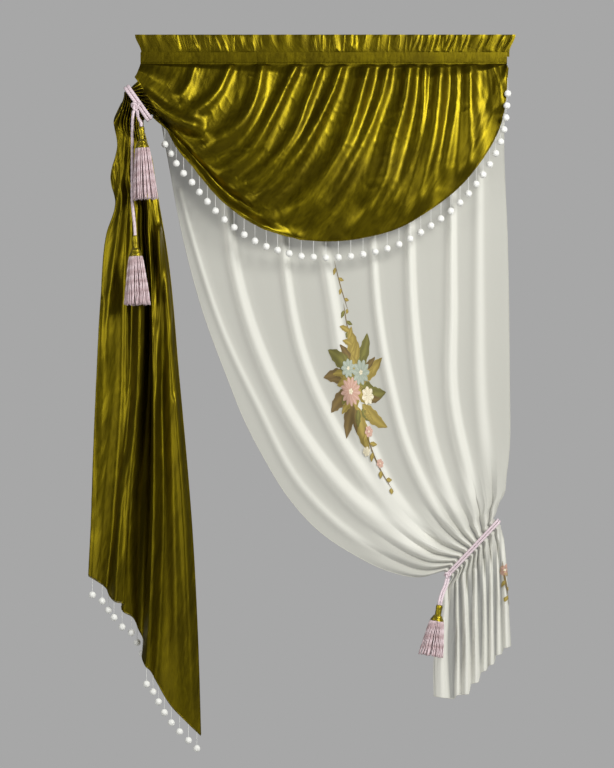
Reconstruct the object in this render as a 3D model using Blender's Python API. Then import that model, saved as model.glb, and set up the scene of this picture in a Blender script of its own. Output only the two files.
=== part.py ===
"""An olive satin swag and tail over a sheer voile panel, with pompom fringe, cord ties and tassels.

The frame is in metres with +Z up. The origin is the middle of the heading's top edge,
+X runs to the right along the heading and the front of the curtain faces -Y.
"""

import math

import bpy
import numpy as np

# Heading
HEADING_HALF = 0.647
FRILL_ROOT_HALF = 0.626
FRILL_HEIGHT = 0.0605
FRILL_ROOT = 0.0755
BAND_LEFT = -0.628
BAND_RIGHT = 0.618
BAND_BOTTOM = -0.0945
BAND_FRONT = -0.0040
BAND_THICK = 0.0020
FRILL_RUCKS = 21
FRILL_DEPTH = 0.007
SEAM_Y = -0.0007

# Cloth thicknesses, and the gap that keeps sewn pieces apart
SATIN = 0.0020
VOILE = 0.0022
FRILL_THICK = 0.0018
GAP = 0.0003

# Swag: its gathers, then its lower edge
SWAG_TOP = -0.0780
GATHER_START = -0.0985
TAIL_SHARE = 0.612
SWAG_FORWARD = 0.030
SWAG_FOLD = 0.017
MOST_FOLD = 1.3
NECK_FOLD = 0.017
# Each fold's place along the heading, as a share of the width, and its relative height
SWAG_FOLDS = {
    "share": (0.040, 0.090, 0.140, 0.195, 0.247, 0.301, 0.345, 0.400, 0.447, 0.500,
              0.548, 0.592, 0.664, 0.735, 0.813, 0.866, 0.915, 0.965),
    "height": (0.7, 1.0, 0.8, 1.1, 0.9, 1.2, 0.8, 1.1, 0.8, 1.2,
               0.9, 1.0, 1.2, 0.9, 1.2, 0.8, 0.9, 0.7),
}
LEFT_EDGE = ((-0.628, GATHER_START), (-0.631, -0.113), (-0.640, -0.138), (-0.652, -0.156))
TURN = (-0.086, -0.696)
TURN_BOW = 0.016
LEFT_HEM = ((-0.210, -0.660), (-0.292, -0.617), (-0.373, -0.557), (-0.453, -0.470), (-0.531, -0.385),
            (-0.562, -0.320), (-0.577, -0.291))
# Where the gathers right of the tail's share meet the lower edge
RIGHT_HEM = {
    "share": (0.612, 0.672, 0.735, 0.823, 0.899, 0.955, 1.000),
    "x": (-0.086, 0.016, 0.125, 0.302, 0.492, 0.595, 0.618),
    "z": (-0.696, -0.701, -0.690, -0.628, -0.474, -0.297, -0.112),
}

# Left tie: the line between its two turns, and the satin's neck inside them
LEFT_TIE_HIGH = (-0.676, -0.178)
LEFT_TIE_LOW = (-0.593, -0.296)
LEFT_TIE_Y = -0.045
LEFT_CORD = 0.011
NECK_MARGIN = 0.014
NECK_HALF_LENGTH = 0.017
TIE_CLEARANCE = 0.0014
# How far the swag stands off the tie's line just before it enters the neck
APPROACH = 0.028

# Tail: its two edges, and its folds from the left edge to the right edge
TAIL_LEFT = ((-0.690, -0.199), (-0.712, -0.222), (-0.718, -0.275), (-0.704, -0.378), (-0.726, -0.500),
             (-0.711, -0.566), (-0.742, -0.682), (-0.761, -0.902), (-0.777, -1.214), (-0.797, -1.718),
             (-0.803, -1.836))
TAIL_RIGHT = ((-0.606, -0.306), (-0.597, -0.340), (-0.590, -0.400), (-0.565, -0.568), (-0.538, -0.729),
              (-0.496, -1.162), (-0.449, -1.718), (-0.431, -2.080), (-0.422, -2.377))
TAIL_LEVELS = (0.0, 0.40, 0.84, 1.0)
# at_tie is the place along the tie; upper, middle and hem are shares of the tail's width at three levels
TAIL_FOLDS = {
    "at_tie": (0.00, 0.12, 0.20, 0.26, 0.32, 0.38, 0.44, 0.48, 0.53, 0.60, 0.66, 0.72, 0.76, 0.80, 0.85,
               0.90, 0.95, 1.00),
    "upper": (0.00, 0.22, 0.40, 0.47, 0.54, 0.60, 0.570, 0.58, 0.63, 0.66, 0.69, 0.680, 0.70, 0.735,
              0.79, 0.87, 0.94, 1.00),
    "middle": (0.00, 0.13, 0.24, 0.27, 0.31, 0.37, 0.340, 0.35, 0.40, 0.48, 0.56, 0.560, 0.60, 0.635,
               0.69, 0.80, 0.91, 1.00),
    "hem": (0.00, 0.10, 0.165, 0.205, 0.26, 0.335, 0.300, 0.320, 0.400, 0.455, 0.505, 0.490, 0.525,
            0.562, 0.615, 0.73, 0.87, 1.00),
    "y": (-0.026, -0.038, -0.028, -0.044, -0.064, -0.058, -0.036, -0.018, -0.010, 0.004, -0.002,
          -0.036, -0.058, -0.050, -0.032, -0.044, -0.052, -0.034),
    "z": (-1.836, -1.857, -1.878, -1.905, -1.921, -1.927, -1.944, -1.958, -1.975, -2.020, -2.060,
          -2.115, -2.140, -2.155, -2.195, -2.268, -2.325, -2.377),
}

# Pompom fringe
POMPOM = 0.026
POMPOM_DROP = 0.056
POMPOM_STEP = 0.042
FRINGE_TAPE = 0.0030
SWAG_TAPE_GAP = 0.0013
TAIL_TAPE_GAP = 0.0020
FRINGE_TAPE_THICK = 0.0016
STRING = 0.0016

# Voile panel: its two edges, folds, and the neck at the right tie
VOILE_TOP = -0.0620
VOILE_Y = 0.0019
VOILE_BACK = 0.020
VOILE_FOLD = 0.013
VOILE_LEFT = ((-0.596, -0.0945), (-0.541, -0.392), (-0.485, -0.686), (-0.419, -0.934), (-0.333, -1.168),
              (-0.276, -1.310), (-0.215, -1.429), (-0.120, -1.582), (-0.020, -1.690), (0.094, -1.767),
              (0.224, -1.828), (0.320, -1.846))
VOILE_RIGHT = ((0.618, -0.0945), (0.609, -0.356), (0.621, -0.695), (0.629, -1.242), (0.631, -1.502),
               (0.622, -1.590))
VOILE_FOLDS = {
    "share": (0.035, 0.140, 0.215, 0.310, 0.420, 0.510, 0.590, 0.700, 0.830, 0.935),
    "height": (0.9, 1.1, 0.8, 1.2, 0.9, 1.1, 0.8, 1.2, 0.6, 0.9),
}
RIGHT_TIE_LOW = (0.406, -1.847)
RIGHT_TIE_HIGH = (0.595, -1.648)
RIGHT_TIE_Y = 0.010
RIGHT_CORD = 0.008
SKIRT_LEFT = ((0.401, -1.880), (0.398, -1.990), (0.372, -2.112), (0.370, -2.262))
SKIRT_RIGHT = ((0.606, -1.700), (0.613, -1.773), (0.622, -1.916), (0.632, -2.083))
SKIRT_FOLD = 0.019
# The voile's lower edge hangs in steps, one for each pleat
VOILE_HEM = {
    "share": (0.00, 0.26, 0.30, 0.45, 0.48, 0.58, 0.61, 0.68, 0.71, 0.77, 0.80, 0.88, 0.91, 1.00),
    "z": (-2.250, -2.260, -2.246, -2.242, -2.208, -2.202, -2.170, -2.162, -2.146, -2.140, -2.112,
          -2.106, -2.086, -2.080),
}

# Free ends of the ties, read as routes from the knot to inside the tassel's skirt
LEFT_KNOT = (-0.641, -0.250)
LEFT_KNOT_SINK = 0.0010
LEFT_KNOT_RADII = (0.0165, 0.0085, 0.0165)
RIGHT_KNOT = (0.416, -1.837)
RIGHT_KNOT_SINK = 0.0040
RIGHT_KNOT_RADII = (0.0125, 0.0070, 0.0125)
SHORT_CORD = ((-0.6347, -0.0842, -0.2660), (-0.6325, -0.0945, -0.2830), (-0.6270, -0.1055, -0.2980))
LONG_CORD = ((-0.6473, -0.0840, -0.2658), (-0.6500, -0.0855, -0.2870), (-0.6515, -0.0855, -0.3300),
             (-0.6515, -0.0850, -0.4100), (-0.6520, -0.0850, -0.4900), (-0.6515, -0.0860, -0.5700),
             (-0.6470, -0.0960, -0.6200), (-0.6430, -0.1080, -0.6520))
STRANDS = ((0.4150, -0.0182, -1.8500), (0.4080, -0.0290, -1.8730), (0.3980, -0.0430, -1.8940),
           (0.3930, -0.0500, -1.9080))
STRAND_OFFSET = 0.0043
CORD_INSIDE = 0.040

# Each tassel's top, the middle of its skirt's lower end, its head's length, and how wide it is
TASSELS = {
    "upper": {"top": (-0.6205, -0.1130, -0.3210), "end": (-0.6060, -0.1190, -0.5680), "head": 0.073,
              "scale": 1.0, "skirt": 0.041},
    "lower": {"top": (-0.6410, -0.1160, -0.6880), "end": (-0.6330, -0.1240, -0.9240), "head": 0.071,
              "scale": 0.95, "skirt": 0.043},
    "right": {"top": (0.3868, -0.0560, -1.9360), "end": (0.3560, -0.0635, -2.1090), "head": 0.055,
              "scale": 1.0, "skirt": 0.0405},
}

# Tassels: shares of the head's length and the radii there
HEAD_PROFILE = {
    "along": (0.00, 0.04, 0.30, 0.48, 0.60, 0.68, 0.76, 0.90, 1.00),
    "radius": (0.0088, 0.0100, 0.0100, 0.0082, 0.0090, 0.0150, 0.0170, 0.0220, 0.0230),
}
HEAD_SIDES = 10
LOCKS = 12
COLLAR = 0.008


def clear_scene():
    for obj in list(bpy.data.objects):
        bpy.data.objects.remove(obj, do_unlink=True)


def material(name, red, green, blue, roughness):
    finish = bpy.data.materials.new(name)
    finish.use_nodes = True
    shader = finish.node_tree.nodes["Principled BSDF"]
    shader.inputs["Base Color"].default_value = (red, green, blue, 1)
    shader.inputs["Roughness"].default_value = roughness
    shader.inputs["Metallic"].default_value = 0
    return finish


def smooth(t):
    """0 before 0, 1 after 1, and an even S between."""
    t = np.clip(t, 0, 1)
    return t * t * (3 - 2 * t)


def through(places, values, at):
    """A smooth curve through values given at rising places, read at each number in at."""
    places = np.asarray(places, float)
    values = np.asarray(values, float)
    at = np.clip(at, places[0], places[-1])
    slopes = np.gradient(values, places, axis=0)
    i = np.clip(np.searchsorted(places, at, side="right") - 1, 0, len(places) - 2)
    width = places[i + 1] - places[i]
    t = (at - places[i]) / width
    if values.ndim == 2:
        t = t[:, None]
        width = width[:, None]
    start = (2 * t**3 - 3 * t**2 + 1) * values[i] + (t**3 - 2 * t**2 + t) * width * slopes[i]
    end = (3 * t**2 - 2 * t**3) * values[i + 1] + (t**3 - t**2) * width * slopes[i + 1]
    return start + end


def along(points, at):
    """Points at the shares in at of the way along a smooth curve through points."""
    points = np.asarray(points, float)
    steps = np.linalg.norm(np.diff(points, axis=0), axis=1)
    places = np.concatenate([[0], np.cumsum(steps)])
    return through(places / places[-1], points, np.asarray(at, float))


def at_height(edge, z):
    """The x of a falling edge at each height z."""
    edge = np.asarray(edge, float)
    return through(-edge[:, 1], edge[:, 0], -np.asarray(z, float))


def fold_profile(folds, share):
    """Height of the folds across a cloth: rounded crests of 1 and narrower valleys of -1."""
    crests = np.asarray(folds["share"], float)
    valleys = np.concatenate([[0], (crests[1:] + crests[:-1]) / 2, [1]])
    i = np.clip(np.searchsorted(valleys, share, side="right") - 1, 0, len(crests) - 1)
    before = (share - valleys[i]) / (crests[i] - valleys[i])
    after = (valleys[i + 1] - share) / (valleys[i + 1] - crests[i])
    rise = np.sin(np.clip(np.minimum(before, after), 0, 1) * math.pi / 2) ** 1.3
    return (2 * rise - 1) * np.asarray(folds["height"], float)[i]


def fold_columns(folds, low, high):
    """Each fold's valley, crest and the two slopes between, for folds from share low to share high."""
    crests = np.asarray(folds["share"], float)
    valleys = np.concatenate([[0], (crests[1:] + crests[:-1]) / 2, [1]])
    stations = np.sort(np.concatenate([crests, valleys]))
    stations = np.sort(np.concatenate([stations, (stations[1:] + stations[:-1]) / 2]))
    inside = stations[(stations > low + 0.004) & (stations < high - 0.004)]
    return np.concatenate([[low], inside, [high]])


def bundle(folds, share, whole=1.0):
    """Height of a tie's gathered folds, which are lower at both ends of the bundle."""
    part = np.clip(share / whole, 0, 1)
    fullness = 0.5 + 0.5 * smooth(np.minimum(part, 1 - part) / 0.14)
    return np.clip(fold_profile(folds, share), -1, 1) * fullness


def flow_of(high, low):
    """The direction in which the cloth runs through a tie, square to its line."""
    line = np.asarray(low, float) - np.asarray(high, float)
    return np.array([line[1], -line[0]]) / np.linalg.norm(line)


def neck_ends(high, low, side):
    """The two ends of a cloth's neck, which is shorter than the tie's line, moved sideways along the flow."""
    high = np.asarray(high, float)
    low = np.asarray(low, float)
    line = (low - high) / np.linalg.norm(low - high)
    flow = flow_of(high, low)
    return high + line * NECK_MARGIN + flow * side, low - line * NECK_MARGIN + flow * side


def swag_plan(share, fall):
    """(x, z) of the swag: share is the place along the heading, fall is 0 there and 1 at the tie.

    Right of the tail's share the cloth ends on the lower edge, at a fall of one half.
    """
    top = np.stack([BAND_LEFT + share * (BAND_RIGHT - BAND_LEFT), np.full_like(share, GATHER_START)], -1)
    high, low = neck_ends(LEFT_TIE_HIGH, LEFT_TIE_LOW, -NECK_HALF_LENGTH)
    half = np.clip(fall * 2, 0, 1)
    corner = top[0] * 0 + [BAND_LEFT + TAIL_SHARE * (BAND_RIGHT - BAND_LEFT), GATHER_START]
    drop = corner + (np.asarray(TURN) - corner) * half
    drop[0] += TURN_BOW * 4 * half * (1 - half)
    if fall > 0.5:
        drop = along((TURN,) + LEFT_HEM + (tuple(low),), [fall * 2 - 1])[0]
    left = along(LEFT_EDGE + (tuple(high),), [fall])[0]
    inward = np.exp(-(((fall - 0.5) / 0.13) ** 2)) * 0.07
    part = np.clip(share / TAIL_SHARE, 0, 1)
    pull = part - inward * part * smooth((1 - part) / 0.12)
    lift = APPROACH * smooth((1 - fall) / 0.07) * (1 - smooth((1 - fall) / 0.45))
    tail_part = left + (drop - left) * pull[:, None] + flow_of(LEFT_TIE_HIGH, LEFT_TIE_LOW) * -lift
    hem = np.stack([through(RIGHT_HEM["share"], RIGHT_HEM[axis], share) for axis in "xz"], -1)
    right_part = top + (hem - top) * half
    right_part[:, 0] += TURN_BOW * 4 * half * (1 - half) * (1 - smooth((share - TAIL_SHARE) / 0.2))
    return np.where((share <= TAIL_SHARE)[:, None], tail_part, right_part)


def swag_row(share, fall):
    """(x, y, z) of the swag's cloth at one fall."""
    plan = swag_plan(share, fall)
    near_tie = smooth((fall - 0.72) / 0.28)
    height = SWAG_FOLD * (0.30 * smooth(fall / 0.05) + 0.70 * smooth(fall / 0.3))
    height = height * (1 - near_tie) + NECK_FOLD * near_tie
    sway = 1 + 0.3 * np.sin(2.3 * math.pi * fall + 9 * share) * (1 - near_tie)
    uneven = np.clip(fold_profile(SWAG_FOLDS, share) * sway, -MOST_FOLD, MOST_FOLD)
    relief = height * (uneven * (1 - near_tie) + bundle(SWAG_FOLDS, share, TAIL_SHARE) * near_tie)
    low_edge = smooth((fall - 0.3) / 0.2) * smooth((share - TAIL_SHARE + 0.05) / 0.1)
    forward = SWAG_FORWARD * smooth(fall / 0.35) * (1 - 0.35 * smooth((share - 0.8) / 0.2))
    forward = forward + height * MOST_FOLD
    y = SEAM_Y - forward * (1 - near_tie) + (LEFT_TIE_Y - SEAM_Y) * near_tie
    y = y - relief * (1 - 0.35 * low_edge)
    return np.stack([plan[:, 0], y, plan[:, 1]], -1)


def tail_row(share, fall):
    """(x, y, z) of the tail's cloth: fall is 0 just below the tie and 1 at the hem."""
    part = np.clip(share / TAIL_SHARE, 0, 1)
    high, low = neck_ends(LEFT_TIE_HIGH, LEFT_TIE_LOW, NECK_HALF_LENGTH)
    start = high + (low - high) * part[:, None]
    z = start[:, 1] + (through(TAIL_FOLDS["at_tie"], TAIL_FOLDS["z"], part) - start[:, 1]) * fall
    levels = ("at_tie", "upper", "middle", "hem")
    shares = [through(TAIL_FOLDS["at_tie"], TAIL_FOLDS[level], part) for level in levels]
    across = through(TAIL_LEVELS, np.array(shares), np.array([fall]))[0]
    left = at_height(TAIL_LEFT, z)
    x = left + (at_height(TAIL_RIGHT, z) - left) * across
    away = smooth(fall / 0.07)
    x = start[:, 0] * (1 - away) + x * away
    folds = bundle(SWAG_FOLDS, share, TAIL_SHARE)
    fading = NECK_FOLD * (1 - smooth(fall / 0.24))
    spread = smooth((fall - 0.02) / 0.3)
    opened = through(TAIL_FOLDS["at_tie"], TAIL_FOLDS["y"], part)
    y = LEFT_TIE_Y * (1 - spread) + opened * spread - folds * fading
    return np.stack([x, y, z], -1)


def voile_row(share, fall):
    """(x, y, z) of the voile above its tie: fall is 0 under the band and 1 at the tie."""
    low, high = neck_ends(RIGHT_TIE_LOW, RIGHT_TIE_HIGH, -NECK_HALF_LENGTH)
    left = along(VOILE_LEFT + (tuple(low),), [fall])[0]
    right = along(VOILE_RIGHT + (tuple(high),), [fall])[0]
    lift = APPROACH * smooth((1 - fall) / 0.04) * (1 - smooth((1 - fall) / 0.25)) * smooth(share / 0.4)
    plan = left + (right - left) * share[:, None] - flow_of(RIGHT_TIE_LOW, RIGHT_TIE_HIGH) * lift[:, None]
    near_tie = smooth((fall - 0.8) / 0.2)
    height = VOILE_FOLD * smooth(fall / 0.12)
    back = VOILE_BACK * smooth(fall / 0.1) * (1 - near_tie) + RIGHT_TIE_Y * near_tie
    sway = 1 + 0.25 * np.sin(2.1 * math.pi * fall + 11 * share) * (1 - near_tie)
    relief = np.clip(fold_profile(VOILE_FOLDS, share) * sway, -1.2, 1.2) * (1 - near_tie)
    relief = height * (relief + bundle(VOILE_FOLDS, share) * near_tie)
    return np.stack([plan[:, 0], VOILE_Y + back - relief, plan[:, 1]], -1)


def skirt_row(share, fall):
    """(x, y, z) of the voile below its tie: fall is 0 at the tie and 1 at the stepped hem."""
    low, high = neck_ends(RIGHT_TIE_LOW, RIGHT_TIE_HIGH, NECK_HALF_LENGTH)
    start = low + (high - low) * share[:, None]
    z = start[:, 1] + (np.interp(share, VOILE_HEM["share"], VOILE_HEM["z"]) - start[:, 1]) * fall
    left = at_height(SKIRT_LEFT, z)
    x = left + (at_height(SKIRT_RIGHT, z) - left) * share
    away = smooth(fall / 0.12)
    x = start[:, 0] * (1 - away) + x * away
    opened = smooth(fall / 0.5)
    relief = np.clip(fold_profile(VOILE_FOLDS, share), -1, 1) * SKIRT_FOLD * opened
    relief = relief + bundle(VOILE_FOLDS, share) * VOILE_FOLD * (1 - opened)
    return np.stack([x, VOILE_Y + RIGHT_TIE_Y - relief, z], -1)


def flat_row(left, right, share, y, z):
    """A straight row of a cloth's seam allowance behind the band."""
    return np.stack([left + share * (right - left), np.full_like(share, y), np.full_like(share, z)], -1)


def add_object(name, points, faces, finish):
    mesh = bpy.data.meshes.new(name)
    corners = [tuple(map(float, point)) for point in points]
    mesh.from_pydata(corners, [], [tuple(map(int, face)) for face in faces])
    mesh.materials.append(finish)
    mesh.update()
    obj = bpy.data.objects.new(name, mesh)
    bpy.context.scene.collection.objects.link(obj)
    return obj


def cloth(name, rows, thickness, finish):
    """A closed sheet of even thickness round a grid of points. A cell with a missing corner is left out."""
    grid = np.asarray(rows, float)
    points = grid.reshape(-1, 3)
    index = np.arange(len(points)).reshape(grid.shape[:2])
    cells = np.stack([index[:-1, :-1], index[1:, :-1], index[1:, 1:], index[:-1, 1:]], -1).reshape(-1, 4)
    cells = cells[~np.isnan(points[cells]).any(axis=(1, 2))]
    facing = np.cross(points[cells[:, 2]] - points[cells[:, 0]], points[cells[:, 3]] - points[cells[:, 1]])
    facing /= np.linalg.norm(facing, axis=1, keepdims=True)
    total = np.zeros_like(points)
    uses = np.zeros(len(points))
    for corner in range(4):
        np.add.at(total, cells[:, corner], facing)
        np.add.at(uses, cells[:, corner], 1)
    used = np.flatnonzero(uses)
    mean = total[used] / uses[used, None]
    length = np.maximum(np.linalg.norm(mean, axis=1, keepdims=True), 0.6)
    offset = mean / np.linalg.norm(mean, axis=1, keepdims=True) / length * thickness / 2
    solid = np.concatenate([points[used] + offset, points[used] - offset])
    number = np.full(len(points), -1)
    number[used] = np.arange(len(used))
    quads = number[cells]
    edges = {(a, b) for face in quads.tolist() for a, b in zip(face, face[1:] + face[:1])}
    rim = [(b, a, a + len(used), b + len(used)) for a, b in edges if (b, a) not in edges]
    # A twisted cell is cut along the same corner to corner line in front and behind, so that the
    # two faces of the cloth stay apart
    front = np.concatenate([quads[:, (0, 1, 2)], quads[:, (0, 2, 3)]])
    back = front[:, ::-1] + len(used)
    obj = add_object(name, solid, front.tolist() + back.tolist() + sorted(rim), finish)
    obj.data.shade_smooth()
    obj.data.set_sharp_from_angle(angle=math.radians(50))
    return grid


def make_satin(finish):
    """The swag and its tail, one cloth: returns the points of the swag's lower edge and of the tail's hem."""
    tail_columns = fold_columns(SWAG_FOLDS, 0, TAIL_SHARE)
    right_columns = fold_columns(SWAG_FOLDS, TAIL_SHARE, 1)[1:]
    share = np.concatenate([tail_columns, right_columns])
    upper = (0.0, 0.04, 0.10, 0.18, 0.28, 0.39, 0.5)
    lower = (0.58, 0.66, 0.74, 0.83, 0.92, 1.0)
    falls = (0.0, 0.03, 0.07, 0.13, 0.21, 0.32, 0.48, 0.66, 0.84, 1.0)
    rows = [flat_row(BAND_LEFT, BAND_RIGHT, share, SEAM_Y, SWAG_TOP)]
    rows += [swag_row(share, fall) for fall in upper]
    missing = np.full((len(right_columns), 3), np.nan)
    rows += [np.concatenate([swag_row(tail_columns, fall), missing]) for fall in lower]
    rows += [np.concatenate([tail_row(tail_columns, fall), missing]) for fall in falls]
    grid = cloth("swag_and_tail", rows, SATIN, finish)
    turn_row = len(upper)
    turn_column = len(tail_columns) - 1
    tie_row = len(upper) + len(lower)
    left_hem = grid[turn_row + 1:tie_row, turn_column][::-1]
    swag_hem = np.concatenate([left_hem, grid[turn_row, turn_column:]])
    tail_hem = grid[-1, :turn_column + 1]
    return swag_hem, tail_hem


def make_voile(finish):
    share = fold_columns(VOILE_FOLDS, 0, 1)
    above = (0.0, 0.05, 0.14, 0.27, 0.40, 0.52, 0.63, 0.73, 0.81, 0.88, 0.94, 1.0)
    below = (0.0, 0.08, 0.22, 0.5, 1.0)
    rows = [flat_row(VOILE_LEFT[0][0], VOILE_RIGHT[0][0], share, VOILE_Y, VOILE_TOP)]
    rows += [voile_row(share, fall) for fall in above]
    rows += [skirt_row(share, fall) for fall in below]
    cloth("voile_panel", rows, VOILE, finish)


def make_heading(finish):
    """The rucked frill, whose root lies behind the band, and the flat band."""
    share = np.linspace(0, 1, FRILL_RUCKS * 4 + 1)
    uneven = share + 0.006 * np.sin(17 * share) + 0.003 * np.sin(53 * share)
    uneven = (uneven - uneven[0]) / (uneven[-1] - uneven[0])
    wave = np.sin(2 * math.pi * np.arange(len(share)) / 4) * (0.75 + 0.25 * np.sin(31 * share))
    rows = []
    for drop, half, depth in ((0.0, HEADING_HALF, 1.0), (0.035, 0.640, 0.7),
                              (FRILL_HEIGHT, FRILL_ROOT_HALF, 0.0), (FRILL_ROOT, FRILL_ROOT_HALF, 0.0)):
        y = SEAM_Y - (wave * FRILL_DEPTH) * depth
        rows.append(np.stack([(2 * uneven - 1) * half, y, np.full_like(share, -drop)], -1))
    cloth("heading_frill", rows, FRILL_THICK, finish)
    ends = np.array([0.0, 0.5, 1.0])
    middle = BAND_FRONT + BAND_THICK / 2
    band = [flat_row(BAND_LEFT, BAND_RIGHT, ends, middle, z) for z in (-FRILL_HEIGHT, BAND_BOTTOM)]
    cloth("heading_band", band, BAND_THICK, finish)


def fringe(name, hem, gap, outward, across, forward, keep, finish):
    """Pompoms on strings whose roots are fused into a narrow tape, which follows a hem a little outside it."""
    steps = np.linalg.norm(np.diff(hem, axis=0), axis=1)
    places = np.concatenate([[0], np.cumsum(steps)])
    middles = np.arange(POMPOM_STEP * 0.4, places[-1] - STRING, POMPOM_STEP)

    def read(values, at):
        columns = range(values.shape[1])
        return np.stack([np.interp(at, places, values[:, column]) for column in columns], -1)

    middles = [middle for middle in middles if keep(read(hem, [middle])[0], read(across, [middle])[0])]
    own = [place for place in places if all(abs(place - middle) > STRING for middle in middles)]
    ends = [middle + side * STRING / 2 for middle in middles for side in (-1, 1)]
    stations = np.array(sorted(own + ends))
    points = []
    faces = []
    centre = read(hem, stations)
    out = read(outward, stations)
    out /= np.linalg.norm(out, axis=1, keepdims=True)
    tangent = np.gradient(centre, stations, axis=0)
    side = np.cross(tangent, out)
    side /= np.linalg.norm(side, axis=1, keepdims=True)
    for place in range(len(stations)):
        for reach in (gap, gap + FRINGE_TAPE):
            for half in (-0.5, 0.5):
                points.append(centre[place] + out[place] * reach + side[place] * half * FRINGE_TAPE_THICK)
    for place in range(len(stations) - 1):
        a = place * 4
        b = a + 4
        faces += [(a, b, b + 1, a + 1), (a + 1, b + 1, b + 3, a + 3), (b, a, a + 2, b + 2)]
        centre_place = (stations[place] + stations[place + 1]) / 2
        hangs = any(abs(centre_place - middle) < STRING / 4 for middle in middles)
        ring = [a + 2, a + 3, b + 3, b + 2]
        if not hangs:
            faces.append(tuple(ring))
            continue
        root = sum(points[corner] for corner in ring) / 4
        back = (side[place] + side[place + 1]) / 2
        run = read(across, [stations[place]])[0]
        run /= np.linalg.norm(run)
        push = np.array([0, -1, 0]) * read(forward, [stations[place]])[0][0]
        radius = POMPOM / 2
        levels = ((0.004, STRING / 2), (POMPOM_DROP - radius, STRING / 2),
                  (POMPOM_DROP - radius * 0.5, radius * 0.7), (POMPOM_DROP + radius * 0.5, radius * 0.7),
                  (POMPOM_DROP + radius * 0.97, radius * 0.25))
        for drop, half in levels:
            middle = root + push * min(1, drop / 0.02) - np.array([0, 0, drop])
            corners = ((-1, -1), (1, -1), (1, 1), (-1, 1))
            fresh = list(range(len(points), len(points) + 4))
            points += [middle + back * half * q + run * half * p for q, p in corners]
            for k in range(4):
                n = (k + 1) % 4
                faces.append((ring[k], ring[n], fresh[n], fresh[k]))
            ring = fresh
        faces.append(tuple(ring))
    last = (len(stations) - 1) * 4
    faces += [(0, 1, 3, 2), (last + 1, last, last + 2, last + 3)]
    add_object(name, points, faces, finish)


def make_fringes(swag_hem, tail_hem, finish):
    tangent = np.gradient(swag_hem, axis=0)
    outward = np.stack([tangent[:, 2], np.zeros(len(tangent)), -tangent[:, 0]], -1)
    outward /= np.linalg.norm(outward, axis=1, keepdims=True)
    rightward = np.tile([1.0, 0.0, 0.0], (len(swag_hem), 1))
    steep = np.clip((swag_hem[:, :1] - 0.54) / 0.05, 0, 1) * (POMPOM / 2 + 0.006)
    fringe("swag_fringe", swag_hem, SWAG_TAPE_GAP, outward, rightward, steep,
           lambda hem, run: hem[0] > -0.57, finish)
    tangent = np.gradient(tail_hem, axis=0)
    level = tangent * [1, 1, 0]
    downward = np.tile([0.0, 0.0, -1.0], (len(tail_hem), 1))
    flat = np.zeros((len(tail_hem), 1))
    fringe("tail_fringe", tail_hem, TAIL_TAPE_GAP, downward, level, flat,
           lambda hem, run: run[0] > 0.3 * abs(run[1]), finish)


def tie_turn(name, high, low, y, cord, side, half_depth, finish):
    """One closed turn of a tie's cord round a cloth's neck, in the plane across the flow."""
    high = np.asarray(high, float)
    low = np.asarray(low, float)
    line = (low - high) / np.linalg.norm(low - high)
    middle = (high + low) / 2 + flow_of(high, low) * side
    half = np.linalg.norm(low - high) / 2 - NECK_MARGIN + TIE_CLEARANCE + cord / 2 + SATIN
    curve = bpy.data.curves.new(name, "CURVE")
    curve.dimensions = "3D"
    curve.bevel_depth = cord / 2
    curve.bevel_resolution = 2
    curve.resolution_u = 1
    angles = np.linspace(0, 2 * math.pi, 20, endpoint=False)
    power = 0.38
    spline = curve.splines.new("POLY")
    spline.points.add(len(angles) - 1)
    for point, angle in zip(spline.points, angles):
        run = math.copysign(abs(math.cos(angle)) ** power, math.cos(angle)) * half
        deep = math.copysign(abs(math.sin(angle)) ** power, math.sin(angle)) * half_depth
        place = middle + line * run
        point.co = (place[0], y + deep, place[1], 1)
    spline.use_cyclic_u = True
    curve.materials.append(finish)
    obj = bpy.data.objects.new(name, curve)
    bpy.context.scene.collection.objects.link(obj)


def cord(name, route, place, diameter, sideways, finish):
    """A free end of a tie, from its knot into the middle of its tassel."""
    top = np.asarray(place["top"], float)
    axis = frame_of(top, place["end"])[0]
    inside = [top + axis * reach for reach in (-0.014, 0, 0.03, place["head"] + CORD_INSIDE)]
    route = np.concatenate([np.asarray(route, float), inside])
    length = np.linalg.norm(np.diff(route, axis=0), axis=1).sum()
    points = along(route, np.linspace(0, 1, int(length / diameter / 2.5) + 2)) + [sideways, 0, 0]
    curve = bpy.data.curves.new(name, "CURVE")
    curve.dimensions = "3D"
    curve.bevel_depth = diameter / 2
    curve.bevel_resolution = 2
    curve.resolution_u = 1
    curve.use_fill_caps = True
    spline = curve.splines.new("POLY")
    spline.points.add(len(points) - 1)
    for point, spot in zip(spline.points, points):
        point.co = (*spot, 1)
    curve.materials.append(finish)
    obj = bpy.data.objects.new(name, curve)
    bpy.context.scene.collection.objects.link(obj)


def turned(name, profile, start, end, sides, finish):
    """A closed ring turned round the line from start to end: profile holds (along, radius) pairs."""
    start = np.asarray(start, float)
    axis, one, two = frame_of(start, end)
    points = []
    faces = []
    for reach, radius in profile:
        for k in range(sides):
            angle = 2 * math.pi * k / sides
            points.append(start + axis * reach + (one * math.cos(angle) + two * math.sin(angle)) * radius)
    for level in range(len(profile)):
        following = (level + 1) % len(profile)
        for k in range(sides):
            n = (k + 1) % sides
            faces.append((level * sides + k, level * sides + n, following * sides + n, following * sides + k))
    obj = add_object(name, points, faces, finish)
    obj.data.shade_smooth()
    obj.data.set_sharp_from_angle(angle=math.radians(40))


def frame_of(start, end):
    """The direction from start to end, and two directions square to it."""
    axis = np.asarray(end, float) - np.asarray(start, float)
    axis /= np.linalg.norm(axis)
    one = np.cross([0, 1, 0], axis)
    one /= np.linalg.norm(one)
    return axis, one, np.cross(axis, one)


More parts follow.
